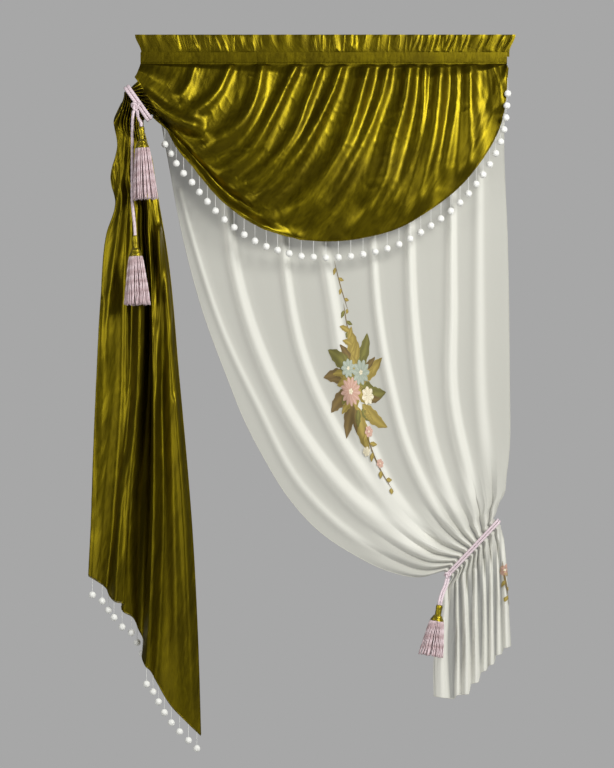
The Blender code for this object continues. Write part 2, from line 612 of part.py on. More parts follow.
def knot(name, centre, radii, finish):
    """A soft lump, wider than it is deep."""
    rows = 7
    sides = 10
    points = [np.asarray(centre) + [0, 0, radii[2]]]
    for row in range(1, rows):
        polar = math.pi * row / rows
        for k in range(sides):
            angle = 2 * math.pi * k / sides
            lump = 1 + 0.1 * math.sin(3 * angle + row)
            points.append(np.asarray(centre) + [radii[0] * math.sin(polar) * math.cos(angle) * lump,
                                                radii[1] * math.sin(polar) * math.sin(angle),
                                                radii[2] * math.cos(polar)])
    points.append(np.asarray(centre) - [0, 0, radii[2]])
    faces = [(0, 1 + k, 1 + (k + 1) % sides) for k in range(sides)]
    for row in range(rows - 2):
        a = 1 + row * sides
        for k in range(sides):
            n = (k + 1) % sides
            faces.append((a + k, a + sides + k, a + sides + n, a + n))
    a = 1 + (rows - 2) * sides
    faces += [(len(points) - 1, a + (k + 1) % sides, a + k) for k in range(sides)]
    add_object(name, points, faces, finish).data.shade_smooth()


def tassel_skirt(name, start, end, bore, top_radius, bottom_radius, finish):
    """Yarn locks fused at their roots into a collar with a bore for the cord."""
    axis, one, two = frame_of(start, end)
    start = np.asarray(start, float)
    length = np.linalg.norm(np.asarray(end) - start)
    points = []
    faces = []
    sides = LOCKS * 2
    inner = max(bore + 0.003, top_radius * 0.45)

    def place(angle, reach, radius):
        points.append(start + axis * reach + (one * math.cos(angle) + two * math.sin(angle)) * radius)
        return len(points) - 1

    angles = [2 * math.pi * (k // 2 + (0.42 if k % 2 else -0.42)) / LOCKS for k in range(sides)]
    rings = [[place(angle, reach, radius) for angle in angles]
             for reach, radius in ((0, bore), (0, top_radius * 0.93), (COLLAR, top_radius), (COLLAR, inner),
                                   (COLLAR, bore))]
    for first, second in zip(rings, rings[1:] + rings[:1]):
        for k in range(sides):
            n = (k + 1) % sides
            corners = [first[k], first[n], second[n], second[k]]
            if first is not rings[2] or k % 2:
                faces.append(tuple(corners))
                continue
            ends = (angles[k], angles[n], angles[n], angles[k])
            for share in (0.5, 1.0):
                reach = COLLAR + (length - COLLAR) * share * (1 - 0.02 * math.sin(5 * k))
                spread = top_radius + (bottom_radius - top_radius) * share
                radii = (spread, spread, spread * 0.62, spread * 0.62)
                fresh = [place(angle, reach, radius) for angle, radius in zip(ends, radii)]
                faces += [(corners[c], corners[(c + 1) % 4], fresh[(c + 1) % 4], fresh[c]) for c in range(4)]
                corners = fresh
            faces.append(tuple(corners))
    add_object(name, points, faces, finish)


def tassel(prefix, bore, gold, yarn):
    """A turned head and a skirt of yarn, both bored for the cord."""
    place = TASSELS[prefix]
    top = np.asarray(place["top"], float)
    axis = frame_of(top, place["end"])[0]
    length = place["head"]
    outer = [(share * length, max(radius * place["scale"], bore + 0.0013))
             for share, radius in zip(HEAD_PROFILE["along"], HEAD_PROFILE["radius"])]
    head_end = top + axis * length
    turned(prefix + "_tassel_head", [(0.0, bore)] + outer + [(length, bore)], top, head_end, HEAD_SIDES, gold)
    start = head_end + axis * GAP * 1.5
    top_radius = HEAD_PROFILE["radius"][-1] * place["scale"] + 0.0005
    tassel_skirt(prefix + "_tassel_skirt", start, place["end"], bore, top_radius, place["skirt"], yarn)


def make_ties(pink, gold, yarn):
    depth = NECK_FOLD + SATIN / 2 + TIE_CLEARANCE + LEFT_CORD / 2
    for name, side in (("left_tie_upper_turn", -1), ("left_tie_lower_turn", 1)):
        tie_turn(name, LEFT_TIE_HIGH, LEFT_TIE_LOW, LEFT_TIE_Y, LEFT_CORD, side * 0.0059, depth, pink)
    y = LEFT_TIE_Y - depth - LEFT_CORD / 2 - GAP - LEFT_KNOT_RADII[1] + LEFT_KNOT_SINK
    knot("left_tie_knot", (LEFT_KNOT[0], y, LEFT_KNOT[1]), LEFT_KNOT_RADII, pink)
    depth = VOILE_FOLD + VOILE / 2 + TIE_CLEARANCE + RIGHT_CORD / 2
    middle = VOILE_Y + RIGHT_TIE_Y
    for name, side in (("right_tie_upper_turn", -1), ("right_tie_lower_turn", 1)):
        tie_turn(name, RIGHT_TIE_LOW, RIGHT_TIE_HIGH, middle, RIGHT_CORD, side * 0.0044, depth, pink)
    y = middle - depth - RIGHT_CORD / 2 - GAP - RIGHT_KNOT_RADII[1] + RIGHT_KNOT_SINK
    knot("right_tie_knot", (RIGHT_KNOT[0], y, RIGHT_KNOT[1]), RIGHT_KNOT_RADII, pink)
    cord("left_short_cord", SHORT_CORD, TASSELS["upper"], LEFT_CORD, 0, pink)
    cord("left_long_cord", LONG_CORD, TASSELS["lower"], LEFT_CORD, 0, pink)
    cord("right_cord_left_strand", STRANDS, TASSELS["right"], RIGHT_CORD, -STRAND_OFFSET, pink)
    cord("right_cord_right_strand", STRANDS, TASSELS["right"], RIGHT_CORD, STRAND_OFFSET, pink)
    tassel("upper", LEFT_CORD / 2 + 2 * GAP, gold, yarn)
    tassel("lower", LEFT_CORD / 2 + 2 * GAP, gold, yarn)
    tassel("right", RIGHT_CORD / 2 + STRAND_OFFSET + 2 * GAP, gold, yarn)


def main():
    clear_scene()
    satin = material("Olive satin", 0.19, 0.17, 0.012, 0.34)
    voile = material("White voile", 0.80, 0.80, 0.74, 0.75)
    pink = material("Pink rayon cord", 0.76, 0.60, 0.63, 0.55)
    gold = material("Olive gold braid", 0.35, 0.28, 0.03, 0.45)
    yarn = material("Pink yarn", 0.60, 0.42, 0.50, 0.70)
    white = material("White pompom wool", 0.86, 0.86, 0.83, 0.90)
    make_heading(satin)
    swag_hem, tail_hem = make_satin(satin)
    make_fringes(swag_hem, tail_hem, white)
    make_voile(voile)
    make_ties(pink, gold, yarn)


main()
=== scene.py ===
# %% [markdown]
# # A swag and tail curtain
# A swag is a piece of cloth gathered along a heading and tied up at one side, where what is left
# over falls on as a pleated tail. Behind it hangs a sheer panel that is tied low at the other side.
# The frame of plain solids is loaded first, and every piece below is made in its place, in metres.

# %% Load the frame
import math

import bpy
import numpy as np
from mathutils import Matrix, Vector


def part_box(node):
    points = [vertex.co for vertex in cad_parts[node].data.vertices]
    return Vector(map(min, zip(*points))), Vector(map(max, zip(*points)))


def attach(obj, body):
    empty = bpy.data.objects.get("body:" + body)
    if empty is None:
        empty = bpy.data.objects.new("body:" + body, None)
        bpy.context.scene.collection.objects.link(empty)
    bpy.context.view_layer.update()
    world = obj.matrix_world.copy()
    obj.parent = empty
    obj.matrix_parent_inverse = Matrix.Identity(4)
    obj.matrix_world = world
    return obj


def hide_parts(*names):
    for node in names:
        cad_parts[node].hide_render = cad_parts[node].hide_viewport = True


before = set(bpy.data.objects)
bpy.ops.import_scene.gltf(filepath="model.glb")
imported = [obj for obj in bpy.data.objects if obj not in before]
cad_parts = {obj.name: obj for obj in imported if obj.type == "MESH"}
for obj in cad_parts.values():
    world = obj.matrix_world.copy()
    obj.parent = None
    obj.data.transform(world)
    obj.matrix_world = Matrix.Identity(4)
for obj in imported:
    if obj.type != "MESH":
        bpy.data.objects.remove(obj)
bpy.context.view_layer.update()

MM = 0.001
print("nodes in the frame:", len(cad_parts))

# %% [markdown]
# ## The camera
# The picture was taken straight on from far away, so the lens is long. The sensor is fitted to the
# picture's height, and the lens follows from how many metres of curtain that height shows.

# %% Camera
PICTURE_HEIGHT = 2.611
CAMERA_DISTANCE = 12.0
SENSOR = 36.0
camera_data = bpy.data.cameras.new("camera")
camera_data.sensor_fit = "VERTICAL"
camera_data.sensor_height = SENSOR
camera_data.sensor_width = SENSOR
camera_data.lens = SENSOR * CAMERA_DISTANCE / PICTURE_HEIGHT
camera = bpy.data.objects.new("camera", camera_data)
camera.location = (-0.062, -CAMERA_DISTANCE, -1.188)
camera.rotation_euler = (math.radians(90), 0, 0)
bpy.context.scene.collection.objects.link(camera)
bpy.context.scene.camera = camera
print("lens", round(camera_data.lens, 1), "mm")

# %% [markdown]
# ## Curves and soft noise
# Cloth has no straight edges, so places are read from smooth curves through a few known points.
# Small creases come from soft random hills. They are worked out from the place alone, so that each
# run gives the same cloth.

# %% Smooth curves
def smooth(t):
    """0 before 0, 1 after 1, and an even S between."""
    t = np.clip(t, 0, 1)
    return t * t * (3 - 2 * t)


def through(places, values, at):
    """A smooth curve through values given at rising places, read at each number in at."""
    places = np.asarray(places, float)
    values = np.asarray(values, float)
    at = np.clip(at, places[0], places[-1])
    slopes = np.gradient(values, places, axis=0)
    i = np.clip(np.searchsorted(places, at, side="right") - 1, 0, len(places) - 2)
    width = places[i + 1] - places[i]
    t = (at - places[i]) / width
    if values.ndim == 2:
        t = t[:, None]
        width = width[:, None]
    start = (2 * t**3 - 3 * t**2 + 1) * values[i] + (t**3 - 2 * t**2 + t) * width * slopes[i]
    end = (3 * t**2 - 2 * t**3) * values[i + 1] + (t**3 - t**2) * width * slopes[i + 1]
    return start + end


def along(points, at):
    """Points at the shares in at of the way along a smooth curve through points."""
    points = np.asarray(points, float)
    steps = np.linalg.norm(np.diff(points, axis=0), axis=1)
    places = np.concatenate([[0], np.cumsum(steps)])
    return through(places / places[-1], points, np.asarray(at, float))


def at_height(edge, z):
    """The x of a falling edge at each height z."""
    edge = np.asarray(edge, float)
    return through(-edge[:, 1], edge[:, 0], -np.asarray(z, float))


def unit(vectors):
    return vectors / np.maximum(np.linalg.norm(vectors, axis=-1, keepdims=True), 1e-9)


def round_angles(count):
    """Even angles round one whole turn."""
    return 2 * math.pi * np.arange(count) / count


def pairs(first, second):
    """Two numbers for each point of a grid, from a row and a column of them."""
    return np.stack(np.broadcast_arrays(first, second), -1)


# %% Soft noise
def scatter(i, j, seed):
    """A number from 0 to 1 for each whole place (i, j), which looks random."""
    wild = np.sin(i * 127.1 + j * 311.7 + seed * 74.7) * 43758.5453
    return wild - np.floor(wild)


def hills(x, y, seed):
    """Soft random hills one unit apart, from -1 to 1."""
    i = np.floor(x)
    j = np.floor(y)
    p = smooth(x - i)
    q = smooth(y - j)
    near = scatter(i, j, seed) * (1 - p) + scatter(i + 1, j, seed) * p
    far = scatter(i, j + 1, seed) * (1 - p) + scatter(i + 1, j + 1, seed) * p
    return (near * (1 - q) + far * q) * 2 - 1


def creases(x, y, seed):
    """Narrow ridges that wander, from 0 between them to 1 on their crests."""
    return (1 - np.abs(hills(x, y, seed))) ** 3


# %% [markdown]
# ## Cords
# A curtain cord is three strands of rayon laid round each other. A round tube would show no
# strands, so the section is a ring with one lobe for each strand, and it turns as it goes along.
# Each point also gets a place on a flat map, around and along the cord, for its finish to read.

# %% Rope
def frames_along(points, closed, square=None):
    """The direction at each point of a route, and two directions square to it that don't twist."""
    if closed:
        tangent = unit(np.roll(points, -1, axis=0) - np.roll(points, 1, axis=0))
    else:
        tangent = unit(np.gradient(points, axis=0))
    one = np.zeros_like(points)
    one[0] = unit(np.cross(tangent[0], (0.0, 1.0, 0.0)) if square is None else np.asarray(square))
    for k in range(1, len(points)):
        carried = one[k - 1] - tangent[k] * (one[k - 1] @ tangent[k])
        one[k] = unit(carried)
    return tangent, one, np.cross(tangent, one)


def resample(points, step, closed=False):
    """Points an even step apart along the smooth curve through points, and the curve's length."""
    points = np.asarray(points, float)
    if closed:
        points = np.concatenate([points, points[:1]])
    fine = along(points, np.linspace(0, 1, len(points) * 12)) if not closed else points
    places = np.concatenate([[0], np.cumsum(np.linalg.norm(np.diff(fine, axis=0), axis=1))])
    count = max(int(places[-1] / step), 3)
    at = np.linspace(0, places[-1], count + 1)
    even = np.stack([np.interp(at, places, fine[:, axis]) for axis in range(3)], -1)
    return (even[:-1] if closed else even), places[-1]


def add_mesh(name, points, faces, finish, flat_map=None):
    """One smooth mesh object. flat_map holds each point's place on the finish's flat map."""
    mesh = bpy.data.meshes.new(name)
    mesh.from_pydata(np.asarray(points, float).tolist(), [], np.asarray(faces).tolist()
                     if isinstance(faces, np.ndarray) else faces)
    for one in finish if isinstance(finish, (list, tuple)) else [finish]:
        mesh.materials.append(one)
    if flat_map is not None:
        corner = np.zeros(len(mesh.loops), np.int64)
        mesh.loops.foreach_get("vertex_index", corner)
        layer = mesh.uv_layers.new(name="flat map")
        layer.data.foreach_set("uv", np.asarray(flat_map, np.float32)[corner].ravel())
    mesh.shade_smooth()
    obj = bpy.data.objects.new(name, mesh)
    bpy.context.scene.collection.objects.link(obj)
    return obj


def place(obj, slot, *nodes):
    """Every piece rides on the one body and stands for its nodes. slot is not used."""
    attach(obj, "root")
    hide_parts(*nodes)
    print(obj.name, len(obj.data.polygons), "faces")
    return obj


def tube(rings, closed):
    """Faces round rings of points, and over both ends when the tube is open."""
    count, sides = rings.shape[:2]
    index = np.arange(count * sides).reshape(count, sides)
    after = np.roll(index, -1, axis=0) if closed else index[1:]
    before = index if closed else index[:-1]
    faces = np.stack([before, np.roll(before, -1, 1), np.roll(after, -1, 1), after], -1)
    faces = faces.reshape(-1, 4).tolist()
    if not closed:
        faces += [index[0, ::-1].tolist(), index[-1].tolist()]
    return faces


def rings_round(centres, one, two, angle, radius):
    """A ring of points round each centre, in the plane of its directions one and two."""
    return (centres[..., None, :] + one[..., None, :] * (np.cos(angle) * radius)[..., None]
            + two[..., None, :] * (np.sin(angle) * radius)[..., None])


def merged(parts):
    """Many small meshes as one: the points, faces and flat places of each, in turn."""
    points, faces, flat = [], [], []
    for more, corners, spots in parts:
        faces += [[corner + len(points) for corner in face] for face in corners]
        points += np.asarray(more).reshape(-1, 3).tolist()
        flat += np.asarray(spots).reshape(-1, 2).tolist()
    return points, faces, flat


ROPE_SIDES = 24
ROPE_STEP = 0.16
GROOVE = 0.22


def rope(name, route, diameter, finish, strands=3, lay=4.0, groove=GROOVE, closed=False, square=None):
    """A laid cord along a route: lay is the length of one whole turn, in diameters."""
    points, length = resample(route, diameter * ROPE_STEP, closed)
    tangent, one, two = frames_along(points, closed, square)
    s = np.linspace(0, length, len(points), endpoint=not closed)
    turns = length / (diameter * lay)
    if closed:
        turns = max(round(turns * strands), 0) / strands
        last = np.cross(one[-1], one[0]) @ tangent[0]
        drift = math.atan2(last, one[-1] @ one[0])
    else:
        drift = 0.0
    angle = round_angles(ROPE_SIDES)
    spin = drift * s / length
    round_it = angle[None] + spin[:, None]
    phase = angle[None] - 2 * math.pi * turns * (s / length)[:, None]
    lobe = np.abs(np.cos(phase * strands / 2)) ** 0.7
    radius = diameter / 2 * (1 - groove + groove * lobe)
    rings = rings_round(points, one, two, round_it, radius)
    flat = pairs(phase / (2 * math.pi) * strands, s[:, None])
    obj = add_mesh(name, rings.reshape(-1, 3), tube(rings, closed), finish, flat.reshape(-1, 2))
    return obj, points, length


# %% [markdown]
# ## Finishes
# Each finish starts from what the real one is. Colours are written as hex values, as on a screen,
# and one function turns them to the linear numbers that the shader works with. Another adds a node
# with its settings and what feeds it. Three more make what most finishes need: a texture whose
# marks have a real size, a colour ramp and a mix of two colours. So each finish is a short list.

# %% Colours and nodes
def linear(code):
    """The linear colour of an sRGB hex value."""
    parts = [int(code[k:k + 2], 16) / 255 for k in (1, 3, 5)]
    return tuple(c / 12.92 if c <= 0.04045 else ((c + 0.055) / 1.055) ** 2.4 for c in parts) + (1.0,)


def feed(tree, node, feeds):
    """Gives each named socket of a node another node's socket or a constant of its own."""
    for name, value in feeds.items():
        if isinstance(value, bpy.types.NodeSocket):
            tree.links.new(value, node.inputs[name])
        else:
            node.inputs[name].default_value = value


def add_node(tree, kind, feeds, **settings):
    """Adds one node, sets what its settings say and feeds its sockets."""
    node = tree.nodes.new("ShaderNode" + kind)
    for name, value in settings.items():
        setattr(node, name, value)
    feed(tree, node, feeds)
    return node


def new_finish(name):
    finish = bpy.data.materials.new(name)
    finish.use_nodes = True
    return finish, finish.node_tree, finish.node_tree.nodes["Principled BSDF"]


def scaled_map(tree, across, lengthways):
    """The flat map in metres, stretched so that one unit is a real length across and lengthways."""
    spot = add_node(tree, "UVMap", {}, uv_map="flat map")
    stretched = add_node(tree, "Mapping", {"Vector": spot.outputs["UV"],
                                           "Scale": (1 / across, 1 / lengthways, 1)})
    return stretched.outputs["Vector"]


BAND_SCALE = 0.32  # A wave texture of this scale has its bands one unit apart


def pattern(tree, kind, across, lengthways, feeds, **settings):
    """The strength of a noise or wave texture whose marks have this size on the flat map."""
    feeds = {"Vector": scaled_map(tree, across, lengthways),
             "Scale": BAND_SCALE if kind == "TexWave" else 1.0, **feeds}
    return add_node(tree, kind, feeds, **settings).outputs["Fac"]


def colour_ramp(tree, amount, first, last, *between):
    """Colours from first to last. Each stop is its place from 0 to 1 and its hex value."""
    node = add_node(tree, "ValToRGB", {"Fac": amount})
    stops = node.color_ramp.elements
    for stop, (spot, code) in zip(stops, (first, last)):
        stop.position = spot
        stop.color = linear(code)
    for spot, code in between:
        stops.new(spot).color = linear(code)
    return node.outputs["Color"]


def mixed_colour(tree, amount, first, second):
    """first where the amount is 0, second where it is 1."""
    return add_node(tree, "Mix", {0: amount, 6: first, 7: second}, data_type="RGBA").outputs[2]


# %% [markdown]
# ### Crushed satin
# Satin is woven so that long floats of the yarn lie on the face. They mirror light in the yarn's
# own colour, so the shader is partly metallic. Crushing presses in small creases, which break
# the shine into flecks. Its thread is too fine to show, so the ribs are drawn 1.6 mm apart.

# %% Olive crushed satin
satin, tree, shader = new_finish("Olive crushed satin")
flecks = pattern(tree, "TexNoise", 9 * MM, 34 * MM,
                 {"Detail": 5.0, "Roughness": 0.62, "Distortion": 0.5})
clouds = pattern(tree, "TexNoise", 90 * MM, 160 * MM, {"Detail": 3.0, "Roughness": 0.55})
ribs = pattern(tree, "TexWave", 1.6 * MM, 60 * MM, {"Distortion": 1.2, "Detail": 2.0},
               bands_direction="X")
tone = colour_ramp(tree, clouds, (0.30, "#564B06"), (0.72, "#8C7D0B"))
gloss = add_node(tree, "MapRange", {"Value": flecks, "From Min": 0.3, "From Max": 0.7,
                                    "To Min": 0.34, "To Max": 0.48})
crush = add_node(tree, "Bump", {"Height": flecks, "Strength": 0.32, "Distance": 1.2 * MM})
weave = add_node(tree, "Bump", {"Height": ribs, "Normal": crush.outputs["Normal"],
                                "Strength": 0.10, "Distance": 0.3 * MM})
# The colour is darker where the crush's creases dip, a painted shade in them.
feed(tree, shader, {"Base Color": mixed_colour(tree, flecks, linear("#574C06"), tone),
                    "Roughness": gloss.outputs["Result"], "Normal": weave.outputs["Normal"],
                    "Metallic": 0.93, "Sheen Weight": 0.03, "Sheen Roughness": 0.4,
                    "Sheen Tint": linear("#C9B93A")})

# %% [markdown]
# ### Voile
# Voile is an open plain weave of hard twisted polyester yarn. Part of the light passes between the
# threads, part shines through them, and the rest is scattered. So a see-through share, a
# translucent share and a matt face are mixed. The weave is drawn 1.5 mm apart, coarser than real.
# Where voile lies in folds it lies in more layers, and less shows through it. So the cloth carries a
# second map, "fold map", that is 1 on a fold and 0 in a hollow. The finish reads it for how much
# shows through, and also paints shade and highlight with it: grey in a hollow and white on a fold.

# %% White polyester voile
voile, tree, shader = new_finish("White polyester voile")
threads = pattern(tree, "TexWave", 1.5 * MM, 80 * MM, {"Distortion": 0.8}, bands_direction="X")
slubs = pattern(tree, "TexNoise", 6 * MM, 40 * MM, {"Detail": 3.0})
fold_map = add_node(tree, "UVMap", {}, uv_map="fold map")
depth = add_node(tree, "SeparateXYZ", {"Vector": fold_map.outputs["UV"]}).outputs["X"]
dense = add_node(tree, "MapRange", {"Value": depth, "To Min": 0.66, "To Max": 0.97})
# Painted shade and highlight: the colour is dark grey in a hollow and white on a fold.
speckled = add_node(tree, "MixRGB", {"Fac": 0.08, "Color1": depth, "Color2": slubs})
body = colour_ramp(tree, speckled.outputs["Color"], (0, "#7E7F78"), (1, "#E8E7DC"), (0.20, "#CDCCBF"))
relief = add_node(tree, "Bump", {"Height": threads, "Strength": 0.12,
                                 "Distance": 0.25 * MM}).outputs["Normal"]
feed(tree, shader, {"Base Color": body, "Normal": relief, "Roughness": 0.72, "Sheen Weight": 0.15,
                    "Alpha": dense.outputs["Result"]})
shine_through = add_node(tree, "BsdfTranslucent", {"Color": linear("#E9E9E1"), "Normal": relief})
mixed = add_node(tree, "MixShader", {0: 0.22, 1: shader.outputs["BSDF"],
                                     2: shine_through.outputs["BSDF"]})
tree.links.new(mixed.outputs["Shader"], tree.nodes["Material Output"].inputs["Surface"])

# %% [markdown]
# ### Cord, braid, yarn and pompom wool
# Rayon cord has a soft sheen, and each of its strands shows the yarns laid in it as fine slanting
# lines. The tassel heads are covered in gold braid, the skirts are spun yarn, and a pompom is cut
# wool, which is matt and takes light softly at its edge.

# %% Yarn finishes
def yarn_finish(name, pale, dark, across, lengthways, roughness, sheen, relief, metallic=0.0):
    """Slanting yarns of a real width, with painted shade between them."""
    finish, tree, shader = new_finish(name)
    yarns = pattern(tree, "TexWave", across, lengthways, {"Distortion": 1.0, "Detail": 2.0},
                    bands_direction="DIAGONAL")
    fuzz = pattern(tree, "TexNoise", 1.0, 3 * MM, {"Scale": 2.0, "Detail": 4.0})
    depth = add_node(tree, "Math", {0: yarns, 1: fuzz}, operation="MULTIPLY").outputs["Value"]
    bump = add_node(tree, "Bump", {"Height": depth, "Strength": 0.6, "Distance": relief})
    # The ramp is painted shade: the colour is darker where the yarns dip.
    feed(tree, shader, {"Base Color": colour_ramp(tree, depth, (0, dark), (0.45, pale)),
                        "Normal": bump.outputs["Normal"], "Roughness": roughness,
                        "Metallic": metallic, "Sheen Weight": sheen})
    return finish


pink_cord = yarn_finish("Pink rayon cord", "#E8D9DD", "#BDA4AC", 0.25, 4 * MM, 0.42, 0.3, 0.4 * MM)
gold_braid = yarn_finish("Olive gold braid", "#BBA716", "#3A3304", 0.5, 3 * MM, 0.30, 0.1, 0.5 * MM,
                         0.75)
pink_yarn = yarn_finish("Pink spun yarn", "#EAD5D8", "#AE9090", 0.5, 14 * MM, 0.6, 0.4, 0.3 * MM)
white_wool = yarn_finish("White pompom wool", "#F6F6F2", "#DEDED6", 0.5, 2 * MM, 0.85, 0.5, 0.4 * MM)

# %% [markdown]
# ## The ties' free ends
# Two cord ends hang from the knot at the left, a short doubled one and a longer single one, and
# two thin strands from the knot at the right. Each goes down into its tassel. Their routes are the
# frame's own, so that every cord stays where its solid is.

# %% Routes of the free ends
SHORT_CORD = ((-0.6347, -0.0842, -0.2660), (-0.6325, -0.0945, -0.2830), (-0.6270, -0.1055, -0.2980))
LONG_CORD = ((-0.6473, -0.0840, -0.2658), (-0.6500, -0.0855, -0.2870), (-0.6515, -0.0855, -0.3300),
             (-0.6515, -0.0850, -0.4100), (-0.6520, -0.0850, -0.4900), (-0.6515, -0.0860, -0.5700),
             (-0.6470, -0.0960, -0.6200), (-0.6430, -0.1080, -0.6520))
STRANDS = ((0.4150, -0.0182, -1.8500), (0.4080, -0.0290, -1.8730), (0.3980, -0.0430, -1.8940),
           (0.3930, -0.0500, -1.9080))
STRAND_OFFSET = 0.0043
CORD_INSIDE = 0.040
LEFT_CORD = 0.011
RIGHT_CORD = 0.008
TASSELS = {
    "upper": {"top": (-0.6205, -0.1130, -0.3210), "end": (-0.6060, -0.1190, -0.5680), "head": 0.073,
              "scale": 1.0, "skirt": 0.041},
    "lower": {"top": (-0.6410, -0.1160, -0.6880), "end": (-0.6330, -0.1240, -0.9240), "head": 0.071,
              "scale": 0.95, "skirt": 0.043},
    "right": {"top": (0.3868, -0.0560, -1.9360), "end": (0.3560, -0.0635, -2.1090), "head": 0.055,
              "scale": 1.0, "skirt": 0.0405},
}


def axes_of(start, end):
    """The direction from start to end, and two directions square to it."""
    axis = unit(np.asarray(end, float) - np.asarray(start, float))
    one = unit(np.cross([0, 1, 0], axis))
    return axis, one, np.cross(axis, one)


def free_end(name, node, route, tassel, diameter, sideways, strands, lay):
    """A cord from its knot to the middle of its tassel's skirt."""
    top = np.asarray(TASSELS[tassel]["top"])
    axis = axes_of(top, TASSELS[tassel]["end"])[0]
    inside = [top + axis * reach for reach in (-0.014, 0, 0.03, TASSELS[tassel]["head"] + CORD_INSIDE)]
    points = np.concatenate([np.asarray(route, float), inside]) + [sideways, 0, 0]
    obj, path, length = rope(name, points, diameter, pink_cord, strands, lay)
    place(obj, "pink_cord", node)
    print(name, "is", round(length, 3), "m long")
    return obj, path

# %% Four free cords
short_cord, short_path = free_end("short_cord", "left_short_cord", SHORT_CORD, "upper",
                                  LEFT_CORD, 0, 2, 9.0)
long_cord, long_path = free_end("long_cord", "left_long_cord", LONG_CORD, "lower",
                                LEFT_CORD, 0, 3, 5.0)
left_strand, left_strand_path = free_end("left_strand", "right_cord_left_strand", STRANDS, "right",
                                         RIGHT_CORD, -STRAND_OFFSET, 3, 5.0)
right_strand, right_strand_path = free_end("right_strand", "right_cord_right_strand", STRANDS, "right",
                                           RIGHT_CORD, STRAND_OFFSET, 3, 5.0)

# %% [markdown]
# ## Tassels
# A tassel has a turned wooden head covered in braid, and a skirt of cut yarn that hangs from under
# the head's rim. The head is a ring of rows turned round the cord's bore, with the braid's crossing
# lumps pressed in. The skirt is three rings of separate twisted yarns, so that light falls between.

# %% Heads
GAP = 0.0003
HEAD_PROFILE = {
    "along": (0.00, 0.04, 0.30, 0.48, 0.60, 0.68, 0.76, 0.90, 1.00),
    "radius": (0.0088, 0.0100, 0.0100, 0.0082, 0.0090, 0.0150, 0.0170, 0.0220, 0.0230),
}
BORES = {"upper": LEFT_CORD / 2 + 2 * GAP, "lower": LEFT_CORD / 2 + 2 * GAP,
         "right": RIGHT_CORD / 2 + STRAND_OFFSET + 2 * GAP}
HEAD_SIDES = 72
HEAD_ROWS = 60
BRAID_LUMP = 0.9 * MM
BRAID_PLAITS = 12
RIB_STEP = 3.2 * MM


def tassel_head(prefix):
    spot = TASSELS[prefix]
    top = np.asarray(spot["top"])
    axis, one, two = axes_of(top, spot["end"])
    share = np.linspace(0, 1, HEAD_ROWS)
    radius = np.maximum(through(HEAD_PROFILE["along"], HEAD_PROFILE["radius"], share) * spot["scale"],
                        BORES[prefix] + 0.0013)
    angle = round_angles(HEAD_SIDES)
    reach = share * spot["head"]
    turn = angle[None] * BRAID_PLAITS / 2
    run = reach[:, None] / RIB_STEP * math.pi / 2
    plait = np.maximum(np.abs(np.sin(turn + run)), np.abs(np.sin(turn - run)))
    ribs = 0.5 + 0.5 * np.cos(2 * math.pi * reach / RIB_STEP)[:, None]
    lumps = (plait - 0.75) * BRAID_LUMP * 1.6 + (ribs - 0.5) * BRAID_LUMP * 0.6
    rim = smooth((share - 0.93) / 0.05)[:, None] * 0.8 * MM
    outer = radius[:, None] + lumps * smooth(np.minimum(share, 1 - share) / 0.02)[:, None] + rim
    bore = np.full((1, HEAD_SIDES), BORES[prefix])
    radii = np.concatenate([bore, outer, bore])
    reaches = np.concatenate([[0.0], reach, [spot["head"]]])
    rings = rings_round(top + axis * reaches[:, None], one, two, angle, radii)
    flat = pairs(angle[None] / (2 * math.pi) * BRAID_PLAITS, reaches[:, None])
    obj = add_mesh(prefix + "_head", rings.reshape(-1, 3), tube(rings, True), gold_braid,
                   flat.reshape(-1, 2))
    return place(obj, "tassel_braid", prefix + "_tassel_head")


# %% Skirts
YARN = 2.1 * MM
PLY_LAY = 5 * MM
SKIRT_RINGS = ((1.00, 36, 1.00), (0.80, 28, 0.78), (0.58, 18, 0.50))
YARN_ROWS = 22
YARN_SIDES = 7


def tassel_skirt(prefix):
    spot = TASSELS[prefix]
    end = np.asarray(spot["end"])
    axis, one, two = axes_of(spot["top"], end)
    start = np.asarray(spot["top"]) + axis * (spot["head"] - 0.001)
    length = np.linalg.norm(end - start)
    root = HEAD_PROFILE["radius"][-1] * spot["scale"] - YARN * 0.4
    rng = np.random.default_rng({"upper": 3, "lower": 4, "right": 5}[prefix])
    share = np.linspace(0, 1, YARN_ROWS)
    round_it = round_angles(YARN_SIDES)
    yarns = []
    for inward, count, outward in SKIRT_RINGS:
        for k in range(count):
            angle = 2 * math.pi * (k + rng.uniform(-0.25, 0.25)) / count
            drift = rng.normal(0, 0.05)
            cut = length * (1 - 0.035 * rng.random())
            wave = rng.uniform(0, 2 * math.pi, 2)
            out = root * inward + (spot["skirt"] * outward - root * inward) * share ** 0.8
            out = out + 0.9 * MM * np.sin(7 * share + wave[0]) * share
            turn = angle + drift * share + 0.03 * np.sin(9 * share + wave[1]) * share
            path = (start + axis * (share * cut)[:, None] + one * (np.cos(turn) * out)[:, None]
                    + two * (np.sin(turn) * out)[:, None])
            side, other = frames_along(path, False)[1:]
            ply = round_it[None] - (share * cut / PLY_LAY)[:, None]
            thick = YARN * (0.85 + 0.20 * np.cos(2 * ply)) * rng.uniform(0.85, 1.1)
            rings = rings_round(path, side, other, round_it, thick)
            yarns.append((rings, tube(rings, False), pairs(ply / math.pi, (share * cut)[:, None])))
    points, faces, flat = merged(yarns)
    obj = add_mesh(prefix + "_skirt", points, faces, pink_yarn, flat)
    return place(obj, "tassel_yarn", prefix + "_tassel_skirt")


tassels = {prefix: [tassel_head(prefix), tassel_skirt(prefix)] for prefix in TASSELS}
